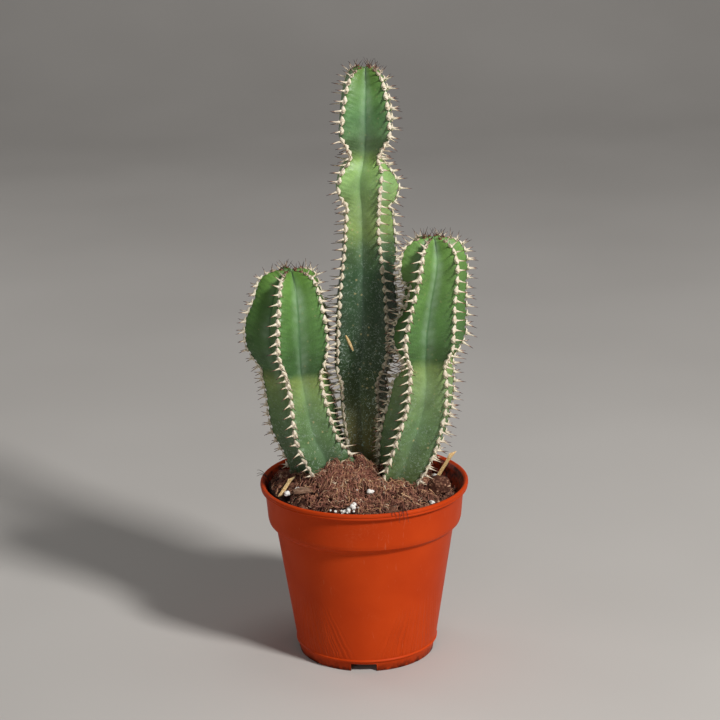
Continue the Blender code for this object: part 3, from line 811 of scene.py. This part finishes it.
def shield_template():
    """A teardrop shield, pointed at its upper end (+Y), bent over the crest that it sits on."""
    bm = bmesh.new()
    bmesh.ops.create_uvsphere(bm, u_segments=8, v_segments=6, radius=1)
    eye = []
    for vert in bm.verts:
        x, y, z = vert.co
        width = 1.6 * (1 - 0.45 * max(y, 0) ** 1.2) * (1 + 0.12 * max(-y, 0))
        height = 0.75 if z > 0 else 0.45
        swell = 1 + 0.5 * max(-y, 0)
        vert.co = (x * width, y * 2.6, z * height * swell - 0.3 * (x * width) ** 2 + 0.15)
        eye.append(math.exp(-(x**2 + (y - 0.3) ** 2) / 0.06) if z > 0.5 else 0.0)
    return as_mesh(bm, "shield"), eye


def spine_template(bend):
    """A tapered, slightly bent spine of unit length along +Z."""
    bm = bmesh.new()
    bmesh.ops.create_cone(bm, cap_ends=True, segments=6, radius1=1.0, radius2=0.09, depth=1)
    bmesh.ops.translate(bm, verts=bm.verts, vec=(0, 0, 0.5))
    for level in (0.2, 0.45, 0.72):
        bmesh.ops.bisect_plane(bm, geom=bm.verts[:] + bm.edges[:] + bm.faces[:], dist=1e-6,
                               plane_co=(0, 0, level), plane_no=(0, 0, 1))
    reach = []
    for vert in bm.verts:
        level = vert.co.z
        thin = 1 - 0.5 * math.sin(math.pi * min(level, 1)) if level < 0.99 else 1
        vert.co.x *= thin
        vert.co.y = vert.co.y * thin + bend * level**2
        reach.append(level)
    return as_mesh(bm, "spine"), reach


def build_spines(material):
    shield, eye = shield_template()
    spines = [spine_template(bend) for bend in (0.0, -0.55, 0.5)]
    for name, stem in STEMS.items():
        top = stem["girth"][-1][0]
        for rib in range(len(stem["ribs"])):
            draw = random.Random(f"spines {name} {rib}")
            path, climbed, stations = stations_of(stem, rib, f"{name}{rib}")
            turn = math.radians(stem["ribs"][rib])
            outward = Vector((math.sin(turn), -math.cos(turn), 0))
            sideways = Vector((math.cos(turn), math.sin(turn), 0))
            spine_share = stem.get("spine_share", {}).get(rib, 1)
            parts = []
            values = {"reach": [], "eye": [], "young": [], "weather": []}
            for index in stations:
                spot = path[index]
                if spot.z < soil_height(spot.x, spot.y) + 1.0:
                    continue
                along = (path[min(index + 5, len(path) - 1)] - path[max(index - 5, 0)]).normalized()
                out = sideways.cross(along).normalized()
                if out.dot(outward) < 0 and out.z < 0:
                    out = -out
                tip = limited((climbed[index] - (climbed[-1] - YOUNG_LENGTH)) / YOUNG_LENGTH)
                size = (1 - 0.5 * tip**1.5) * draw.uniform(0.88, 1.1)
                young = limited((tip - 0.45) / 0.4)
                weather = min(between(stem["weather"], spot.z) * draw.uniform(0.7, 1.2), 1)
                tilted = Matrix.Rotation(draw.uniform(-0.12, 0.12), 3, out)
                parts.append((shield, frame_matrix(spot + out * 0.1, tilted @ sideways,
                                                   tilted @ along, out, size)))
                count = len(shield.vertices)
                values["reach"] += [0.0] * count
                values["eye"] += [value * 0.8 for value in eye]
                values["young"] += [young] * count
                values["weather"] += [weather] * count
                # A pair of spines splays from each shield; near the tip they rise.
                lean = outward.lerp(out, 0.35 + 0.65 * tip).normalized()
                for side in (-1, 1):
                    spread = math.radians(draw.uniform(24, 40)) * side
                    droop = math.radians(draw.uniform(-2, 16) * (1 - tip) - 25 * tip)
                    heading = (lean * math.cos(spread) + sideways * math.sin(spread)).normalized()
                    heading = (heading * math.cos(droop) - along * math.sin(droop)).normalized()
                    length = draw.uniform(5.4, 7.4) * (1 - 0.3 * tip) * spine_share
                    thick = size * draw.uniform(0.85, 1.1) * (1 - 0.2 * young)
                    template, reach = draw.choice(spines)
                    root = spot + out * 0.2 + sideways * side * 0.75 * size - along * 0.7 * size
                    parts.append((template, pointing(root, heading, draw.uniform(0, FULL_TURN),
                                                     (thick, thick, length))))
                    count = len(template.vertices)
                    shift = draw.uniform(-0.12, 0.12)
                    values["reach"] += [limited(value + shift * (value > 0.3)) for value in reach]
                    values["eye"] += [0.0] * count
                    values["young"] += [young] * count
                    values["weather"] += [weather * 0.6] * count
            finish_piece(f"{name}_spines_{rib + 1}", gathered(parts), material,
                         [f"{name}_spine_row_{rib + 1}"], values=values)


# ---- pot ----


def rounded(corners):
    """A closed outline with each corner turned into a short arc of its own fillet."""
    outline = []
    for before, here, after in zip(corners[-1:] + corners[:-1], corners, corners[1:] + corners[:1]):
        spot = Vector(here[:2])
        ends = [spot + (Vector(other[:2]) - spot).normalized() * here[2]
                for other in (before, after)]
        for share in (0, 0.25, 0.5, 0.75, 1):
            outline.append(ends[0].lerp(spot, share).lerp(spot.lerp(ends[1], share), share))
    return outline


def turned(outline):
    """A closed ring with this outline of radius and height."""
    bm = bmesh.new()
    wire = [bm.verts.new((radius, 0, height)) for radius, height in outline]
    edges = [bm.edges.new(pair) for pair in zip(wire, wire[1:] + wire[:1])]
    bmesh.ops.spin(bm, geom=wire + edges, cent=(0, 0, 0), axis=UP, angle=2 * math.pi,
                   steps=SPIN_STEPS, use_merge=True)
    bmesh.ops.remove_doubles(bm, verts=bm.verts, dist=MERGE)
    bmesh.ops.recalc_face_normals(bm, faces=bm.faces)
    return bm


def carved(mesh, cutters):
    """The mesh with the cutters' shapes taken out of it."""
    body = linked("body", mesh)
    helpers = [body]
    for cutter in cutters:
        helper = linked("cutter", cutter)
        helpers.append(helper)
        boolean = body.modifiers.new("cut", "BOOLEAN")
        boolean.operation = "DIFFERENCE"
        boolean.solver = "EXACT"
        boolean.object = helper
    graph = bpy.context.evaluated_depsgraph_get()
    result = bpy.data.meshes.new_from_object(body.evaluated_get(graph))
    for helper in helpers:
        bpy.data.objects.remove(helper, do_unlink=True)
    return result


def build_pot(material):
    cutters = []
    for number in range(NOTCHES):
        angle = NOTCH_TURN + 360 / NOTCHES * number
        spin = Matrix.Rotation(math.radians(angle), 4, "Z")
        notch = bmesh.new()
        bmesh.ops.create_cube(notch, size=1)
        width, depth, height = NOTCH_SIZE
        bmesh.ops.scale(notch, verts=notch.verts, vec=(width, depth, 2 * height))
        upright = [edge for edge in notch.edges if abs(edge.verts[0].co.y - edge.verts[1].co.y) > 1]
        bmesh.ops.bevel(notch, geom=upright, offset=0.7, segments=3, profile=0.5, affect="EDGES",
                        material=-1)
        place = Matrix.Translation(around_axis(0, 0, FOOT_RADIUS, angle, 0)) @ spin
        bmesh.ops.transform(notch, verts=notch.verts, matrix=place)
        cutters.append(as_mesh(notch, "notch"))
        drill = bmesh.new()
        bmesh.ops.create_cone(drill, cap_ends=True, segments=32, radius1=DRAIN_RADIUS,
                              radius2=DRAIN_RADIUS, depth=DRILL_LENGTH)
        bmesh.ops.translate(drill, verts=drill.verts,
                            vec=around_axis(0, 0, DRAIN_CIRCLE, angle, FLOOR_TOP))
        cutters.append(as_mesh(drill, "drain"))
    shell = carved(as_mesh(turned(rounded(POT_OUTLINE)), "pot"), cutters)
    # Points inside the wall, below the lip, get the dried peat and the painted shade.
    inside = []
    for vert in shell.vertices:
        radius = math.hypot(vert.co.x, vert.co.y)
        inner = radius < between(WALL_MIDDLE, vert.co.z) and vert.co.z < SMEAR_AND_SHADE_BELOW
        inside.append(1.0 if inner else 0.0)
    finish_piece("nursery_pot", shell, material, ["pot"], smooth_angle=38,
                 values={"inside": inside})


# ---- soil ----


def soil_height(x, y):
    """The heap's smooth surface, kept below the rim at the wall."""
    heap = SOIL_LEVEL
    for middle_x, middle_y, spread_x, spread_y, rise in SWELLS:
        away = ((x - middle_x) / spread_x) ** 2 + ((y - middle_y) / spread_y) ** 2
        heap += rise * math.exp(-away / 2)
    edge_radius, edge_height = HEAP_EDGE
    flank = edge_height + HEAP_SLOPE * (edge_radius - math.hypot(x, y))
    soft = HEAP_SOFTENING
    return -soft * math.log(math.exp(-heap / soft) + math.exp(-flank / soft))


def roughness(x, y):
    """Clods of about 8 mm with crumbs on them, as a rise over the heap."""
    spot = Vector((x, y, 0))
    return (2.6 * noise.noise(spot / 8.0) + 2.4 * noise.noise(spot / 3.8 + Vector((9, 4, 1)))
            + 0.9 * noise.noise(spot / 1.5))


def soil_top(x, y):
    """The soil's rough surface: the heap with lumps of a few millimetres on it."""
    fade = limited((55.3 - math.hypot(x, y)) / 3)
    return soil_height(x, y) + roughness(x, y) * fade - 0.4


def wall_radius(height):
    """Radius of the soil, just clear of the pot's wall."""
    return between(INNER_WALL, height) - 0.4


def soil_sections():
    turns = [360 / SOIL_TURNS * step for step in range(SOIL_TURNS)]
    sections = []
    # Below the surface the soil follows the pot's wall.
    for height in (6.6, 77.4, 81.0):
        sections.append([around_axis(0, 0, wall_radius(height), turn, height) for turn in turns])
    edge = []
    for turn in turns:
        rim = around_axis(0, 0, wall_radius(90), turn, 0)
        height = soil_height(rim.x, rim.y)
        edge.append(around_axis(0, 0, wall_radius(height), turn, height))
    sections.append(edge)
    for ring in range(1, SOIL_RINGS):
        share = 1 - ring / SOIL_RINGS
        flat = [(point.x * share, point.y * share) for point in edge]
        sections.append([Vector((x, y, soil_top(x, y))) for x, y in flat])
    middle = Vector((0, 0, soil_top(0, 0)))
    sections.append([middle] * len(turns))
    return sections


def stem_reach(name, x, y, height):
    """How far a point stands outside a stem's skin; negative when it is inside."""
    stem = STEMS[name]
    height = max(height, stem["girth"][0][0])
    axis_x, axis_y = axis_at(stem, height)
    away = Vector((x - axis_x, y - axis_y))
    angle = math.degrees(math.atan2(away.x, -away.y))
    ribs = stem["ribs"]
    for rib, start in enumerate(ribs):
        following = (rib + 1) % len(ribs)
        spread = (ribs[following] - start) % 360
        if (angle - start) % 360 <= spread:
            share = ((angle - start) % 360) / spread
            crests = [rib_radius(stem, at, height) for at in (rib, following)]
            valley = VALLEY * sum(crests) / 2
            crest = crests[0] if share <= 0.5 else crests[1]
            return away.length - (valley + crestness(share) * (crest - valley))
    return away.length


def free_spot(x, y, margin, edge=SOIL_EDGE):
    """Whether soil shows at this spot."""
    if math.hypot(x, y) > edge - margin:
        return False
    height = soil_height(x, y)
    return all(stem_reach(name, x, y, height) > margin for name in STEMS)


def near_bits(x, y, margin):
    """Whether a crumb here would lie on one of the loose bits or hide it."""
    bits = [(px, py, across / 2 + 1.5) for px, py, across in PERLITE] + [(*BARK_CHIP[:2], 5.0)]
    bits += [(px, py, 1.5) for px, py, _ in LEANING_STRAW + UPRIGHT_STRAW] + [(*CLOD[:2], 6.5)]
    return any(abs(x - px) < reach + margin and -reach - 2.5 * margin < y - py < reach + margin
               for px, py, reach in bits)


def lump_template(subdivisions, seed, depth):
    """A round lump with dents of this depth, as a share of its radius."""
    bm = bmesh.new()
    bmesh.ops.create_icosphere(bm, subdivisions=subdivisions, radius=1)
    for vert in bm.verts:
        vert.co *= 1 + depth * noise.noise(vert.co * 1.3 + Vector((seed * 5.1, 0, 0)))
        vert.co *= 1 + depth * 0.5 * noise.noise(vert.co * 3.1 + Vector((0, seed * 3.3, 0)))
    return as_mesh(bm, f"lump_{seed}")


def build_crumbs(material):
    """Crumbs of peat and pith, from fine to coarse, half sunk in the surface."""
    draw = random.Random("crumbs")
    coarse = [lump_template(2, seed, 0.45) for seed in range(5)]
    fine = [lump_template(1, seed + 10, 0.5) for seed in range(4)]
    clods = [lump_template(3, seed + 70, 0.6) for seed in range(4)]
    # Each kind: templates, how many, and their sizes from smallest to largest.
    kinds = (
        ("peat_clods", clods, 46, (1.6, 3.0)),
        ("coarse_crumbs", coarse, 620, (0.7, 1.6)),
        ("fine_crumbs", fine, 3200, (0.3, 0.8)),
    )
    for name, templates, count, sizes in kinds:
        parts, shade = [], []
        while len(parts) < count:
            x, y = draw.uniform(-55, 55), draw.uniform(-55, 55)
            size = sizes[0] + (sizes[1] - sizes[0]) * draw.random() ** 2
            if not free_spot(x, y, size * 0.5) or near_bits(x, y, size):
                continue
            template = draw.choice(templates)
            turn = Matrix.Rotation(draw.uniform(0, FULL_TURN), 4,
                                   Vector((draw.random(), draw.random(), 1)))
            scale = Matrix.Diagonal((size * draw.uniform(0.7, 1.3), size,
                                     size * draw.uniform(0.6, 1), 1))
            sunk = 0.25 if name == "peat_clods" else 0.0
            centre = Vector((x, y, soil_top(x, y) + size * (draw.uniform(0.0, 0.4) - sunk)))
            parts.append((template, Matrix.Translation(centre) @ turn @ scale))
            tone = limited(draw.gauss(0.42, 0.26))
            shade += [tone] * len(template.vertices)
        finish_piece(name, gathered(parts), material, values={"shade": shade})


def curl(draw, x, y, length, radius, tightness, lift):
    """A fibre that curls over the soil: a list of (point, radius), or None if it meets a stem."""
    steps = 13
    stride = length / steps
    axis = Vector([draw.gauss(0, 1) for _ in range(3)]).normalized()
    heading = axis.orthogonal().normalized()
    bend = draw.uniform(0.35, 1.0) * tightness * stride
    spot = Vector((x, y, soil_top(x, y) + draw.uniform(0.1, 0.5 * lift)))
    points = []
    for step in range(steps):
        if math.hypot(spot.x, spot.y) > 54.2 or not free_spot(spot.x, spot.y, 0.3, 54.6):
            return None
        ground = soil_top(spot.x, spot.y)
        spot.z = min(max(spot.z, ground + 0.05), ground + lift)
        share = step / (steps - 1)
        thin = radius * (0.55 + 0.45 * math.sin(math.pi * min(share + 0.15, 1)))
        points.append((spot.copy(), thin))
        axis = (axis + Vector([draw.gauss(0, 0.25) for _ in range(3)])).normalized()
        heading = (Matrix.Rotation(bend, 3, axis) @ heading).normalized()
        spot += heading * stride
    return points


def build_fibres(material):
    """Coir: short curls all over, then longer loops and pale root strands."""
    draw = random.Random("fibres")
    # Each kind: how many, lengths, radii, tightness of the curl, lift off the soil, and tones.
    kinds = (
        ("coir_curls", 2300, (4, 10), (0.1, 0.2), 0.85, (0.6, 3.0), (0.05, 0.8)),
        ("coir_wisps", 2000, (6, 14), (0.08, 0.15), 0.5, (0.8, 4.0), (0.25, 0.9)),
        ("coir_tuft", 1400, (6, 13), (0.1, 0.18), 0.8, (1.4, 3.6), (0.2, 0.8)),
        ("coir_loops", 300, (8, 18), (0.14, 0.25), 0.6, (1.2, 4.2), (0.5, 0.85)),
        ("root_strands", 80, (4, 13), (0.18, 0.38), 0.15, (0.6, 2.6), (0.82, 1.0)),
    )
    for name, count, lengths, radii, tightness, lifts, tones in kinds:
        paths, tint = [], []
        while len(paths) < count:
            if name == "coir_tuft":
                x, y = draw.gauss(-12, 10), draw.gauss(-27, 9)
            elif name == "coir_loops":
                x, y = draw.gauss(-5, 20), draw.gauss(-36, 9)
            else:
                x, y = draw.uniform(-54, 54), draw.uniform(-54, 54)
            clump = noise.noise(Vector((x, y, 31)) / 5.5)
            aside = limited((math.hypot(x + 10, y + 26) - 16) / 12)
            if clump < draw.uniform(-0.3, 0.25) + 0.1 * aside or near_bits(x, y, 0.3):
                continue
            path = curl(draw, x, y, draw.uniform(*lengths),
                        draw.uniform(*radii), tightness, draw.uniform(*lifts))
            if path:
                paths.append(path)
                tint.append(limited(draw.uniform(*tones) + 0.6 * (clump - 0.2) - 0.06 * aside))
        mesh = strands(name, paths, 0)
        per_path = len(mesh.vertices) // count
        shade = [tone for tone in tint for _ in range(per_path)]
        shade += [0.5] * (len(mesh.vertices) - len(shade))
        finish_piece(name, mesh, material, values={"shade": shade})


def build_soil(earth):
    sections = soil_sections()
    # Painted shade: full on the buried sides along the wall, and in the hollows of the rough
    # surface.
    shaded_pits = [[1.0] * len(sections[0])] * 4
    shaded_pits += [[limited(-roughness(spot.x, spot.y)) for spot in ring] for ring in sections[4:]]
    finish_piece("soil_heap", lofted(sections, {"pit_shade": shaded_pits}), earth, ["soil"])


# ---- loose bits ----


def build_bits(materials):
    draw = random.Random("bits")
    for number, (x, y, across) in enumerate(PERLITE, 1):
        grain = lump_template(3, 20 + number, 0.4)
        spin = Matrix.Rotation(number * 0.9, 4, "Z")
        size = across / 2
        place = Matrix.Translation((x, y, soil_top(x, y) + size * 0.45))
        grain.transform(place @ spin @ Matrix.Diagonal((size * 1.1, size * 0.95, size * 0.8, 1)))
        finish_piece(f"perlite_grain_{number}", grain, materials["perlite"],
                     [f"perlite_{number}"])
    parts = []
    specks = [lump_template(1, 40 + seed, 0.4) for seed in range(3)]
    for number in range(70):
        if number < 20:
            x, y = draw.gauss(-12, 5), draw.gauss(-50.5, 1.2)
        else:
            x, y = draw.uniform(-52, 52), draw.uniform(-52, 52)
        size = draw.uniform(0.35, 1.0) * (1.9 if number < 7 else 1)
        if free_spot(x, y, size, 55.5):
            place = Matrix.Translation((x, y, soil_top(x, y) + size * 0.6))
            parts.append((draw.choice(specks), place @ Matrix.Scale(size, 4)))
    finish_piece("perlite_specks", gathered(parts), materials["perlite"])

    x, y, across = CLOD
    clod = lump_template(4, 60, 0.3)
    clod.transform(Matrix.Translation((x, y, soil_height(x, y) + across * 0.36))
                   @ Matrix.Diagonal((across / 2, across / 2, across * 0.42, 1)))
    shade = [0.3 + 1.8 * max(noise.noise(vert.co / 0.7) - 0.12, 0) for vert in clod.vertices]
    finish_piece("clod", clod, materials["crumbs"], ["soil_clod"],
                 values={"shade": shade})

    x, y, length, width, thick = BARK_CHIP
    chip = bmesh.new()
    bmesh.ops.create_cube(chip, size=1)
    bmesh.ops.subdivide_edges(chip, edges=chip.edges[:], cuts=12, use_grid_fill=True)
    for vert in chip.verts:
        px, py, pz = vert.co
        round_off = 1 - 0.45 * (2 * abs(px)) ** 3
        py *= round_off
        arch = -2.2 * (px**2) + 0.4 * noise.noise(Vector((px * 9, py * 30, pz * 4)))
        vert.co = (px * length, py * width, pz * thick * round_off + arch)
    bmesh.ops.transform(chip, verts=chip.verts, matrix=Matrix.Translation(
        (x, y, soil_top(x, y) + 2.0)) @ Matrix.Rotation(math.radians(15), 4, "Z"))
    finish_piece("bark", chip, materials["bark"], ["bark_chip"], smooth_angle=50)

    for name, rows, node in (("straw_leaning", LEANING_STRAW, "flat_straw"),
                             ("straw_standing", UPRIGHT_STRAW, "upright_straw")):
        foot = soil_top(*rows[0][:2]) + 1.0
        points = [Vector((x, y, foot + rise)) for x, y, rise in rows]
        paths = []
        for split in range(7):
            off = Vector(((split - 3) * 0.36, draw.uniform(-0.15, 0.15), (split - 3) * 0.12))
            path = []
            for step in range(11):
                share = step / 10
                spot = points[0].lerp(points[1], share * 2) if share < 0.5 else points[1].lerp(
                    points[2], share * 2 - 1)
                fray = off * (1 + 3.5 * max(share - 0.78, 0))  # the splits part at the upper end
                path.append((spot + fray, 0.36 * (1 - 0.35 * share)))
            paths.append(path)
        finish_piece(name, strands(name, paths, 1), materials["straw"], [node])


def build_strays(fibre, dry):
    """Fibres that hang over the lip, one that sticks out at the left, and a dry flake on a stem."""
    draw = random.Random("strays")
    paths = []
    # Each fibre over the lip: its angle round the pot, and how far it hangs down.
    over_lip = ((16.5, 3.5), (18.2, 6.0), (20.1, 2.5), (21.4, 5.0), (23.0, 6.5), (14.8, 2.0))
    for angle, drop in over_lip:
        path = []
        for step in range(9):
            share = step / 8
            radius = 57.0 + 3.25 * min(share * 3, 1)
            height = POT_HEIGHT + 0.3 * math.sin(math.pi * share) - drop * max(share - 0.3, 0) / 0.7
            if share > 0.7:
                radius -= 0.5 * (share - 0.7)
            sway = 0.5 * math.sin(4 * share + angle)
            path.append((around_axis(0, 0, radius, angle + sway, height), 0.17 - 0.08 * share))
        paths.append(path)
    for rise in (0.0, 1.2, -0.8):
        path = []
        for step in range(7):
            share = step / 6
            height = 102.8 + 3.2 * math.sin(2.2 * share) + rise * share
            spot = Vector((-55.5 - 6.5 * share, 4 + 2.5 * share * (rise + 0.5), height))
            path.append((spot, 0.2 - 0.1 * share))
        paths.append(path)
    mesh = strands("stray_fibres", paths, 1)
    values = {"shade": [0.05 + 0.1 * draw.random()] * len(mesh.vertices)}
    finish_piece("stray_fibres", mesh, fibre, values=values)

    # The dry flake: a thin curled leaf that narrows to both ends.
    bm = bmesh.new()
    bmesh.ops.create_grid(bm, x_segments=3, y_segments=12, size=1)
    for vert in bm.verts:
        x, y, _ = vert.co
        width = 0.9 * (1 - 0.7 * y**2) + 0.1
        vert.co = (-7.1 - 2.0 * y + x * width, -6.9 - 0.5 * y**2 + 0.5 * x**2, 187.0 + 4.6 * y)
    bmesh.ops.solidify(bm, geom=bm.faces[:], thickness=0.2)
    bmesh.ops.recalc_face_normals(bm, faces=bm.faces)
    finish_piece("dry_flake", bm, dry)


# ---- studio, in metres ----

SWEEP_LENGTH = 8.0
SWEEP_HALF_WIDTH = 5
SWEEP_AHEAD = 4.0  # from the pot to the sweep's front edge
SWEEP_FLAT = 5.6
SWEEP_BEND = 0.9
# Each lamp: name, place, side of its square, and power in watts.
LAMPS = (
    ("key", (1.08, -1.12, 1.42), 0.3, 40), ("front", (-0.5, -2.2, 0.8), 0.9, 5),
    ("top", (0.3, 0.3, 1.9), 0.8, 4), ("rim", (-1.3, 0.9, 0.6), 0.5, 3),
)
LAMPS_AIM = Vector((0, 0, 0.16))
CAMERA_PLACE = (-0.00125, -1.2, 0.5363)
CAMERA_PITCH = 0.2927  # radians below level
CAMERA_ROLL = -0.0172
LENS = 110.4


def build_studio():
    """A pale sweep for the floor and background, soft boxes, and the camera."""
    bm = bmesh.new()
    bmesh.ops.create_grid(bm, x_segments=1, y_segments=40, size=1)
    for vert in bm.verts:
        along = (vert.co.y + 1) / 2 * SWEEP_LENGTH
        if along < SWEEP_FLAT:
            y, z = along - SWEEP_AHEAD, 0.0
        else:
            turn = min((along - SWEEP_FLAT) / SWEEP_BEND, math.pi / 2)
            extra = max(along - SWEEP_FLAT - SWEEP_BEND * math.pi / 2, 0)
            y = SWEEP_FLAT - SWEEP_AHEAD + SWEEP_BEND * math.sin(turn)
            z = SWEEP_BEND * (1 - math.cos(turn)) + extra
        vert.co = (vert.co.x * SWEEP_HALF_WIDTH, y, z)
    sweep = as_mesh(bm, "sweep")
    sweep.shade_smooth()
    paper, tree, shader = new_material("backdrop_paper", 0.9, 1.45)
    place = add(tree, "TexCoord").outputs["Object"]
    cloud = add(tree, "TexNoise", {"Vector": place, "Scale": 3.0, "Detail": 2})
    tone = add(tree, "ValToRGB", {0: cloud}, [(0.3, "BDB8B2"), (0.7, "C6C1BB")])
    feed(tree, shader, {"Base Color": tone})
    sweep.materials.append(paper)
    linked("studio_sweep", sweep)

    world = bpy.data.worlds.new("studio")
    bpy.context.scene.world = world
    world.use_nodes = True
    sky = world.node_tree.nodes["Background"]
    sky.inputs["Color"].default_value = linear("E8ECF2")
    sky.inputs["Strength"].default_value = 0.09

    for name, place, size, power in LAMPS:
        lamp = bpy.data.lights.new(name, "AREA")
        lamp.shape = "SQUARE"
        lamp.size = size
        lamp.energy = power
        light = linked(name, lamp)
        light.location = place
        light.rotation_euler = (LAMPS_AIM - Vector(place)).to_track_quat("-Z", "Y").to_euler()

    lens = bpy.data.cameras.new("camera")
    lens.lens = LENS
    camera = linked("camera", lens)
    pitch = Matrix.Rotation(math.pi / 2 - CAMERA_PITCH, 4, "X")
    roll = Matrix.Rotation(CAMERA_ROLL, 4, "Z")
    camera.matrix_world = Matrix.Translation(CAMERA_PLACE) @ pitch @ roll
    bpy.context.scene.camera = camera
    bpy.context.scene.view_settings.view_transform = "Standard"


def main():
    build_studio()
    build_pot(polypropylene())
    build_soil(peat())
    crumbs, fibre, dry = crumbs_of_peat(), coir(), straw()
    build_crumbs(crumbs)
    build_fibres(fibre)
    build_bits({"perlite": expanded_perlite(), "crumbs": crumbs, "bark": pine_bark(), "straw": dry})
    build_strays(fibre, dry)
    build_stems(succulent_skin())
    build_spines(horn())
    bpy.context.view_layer.update()


main()
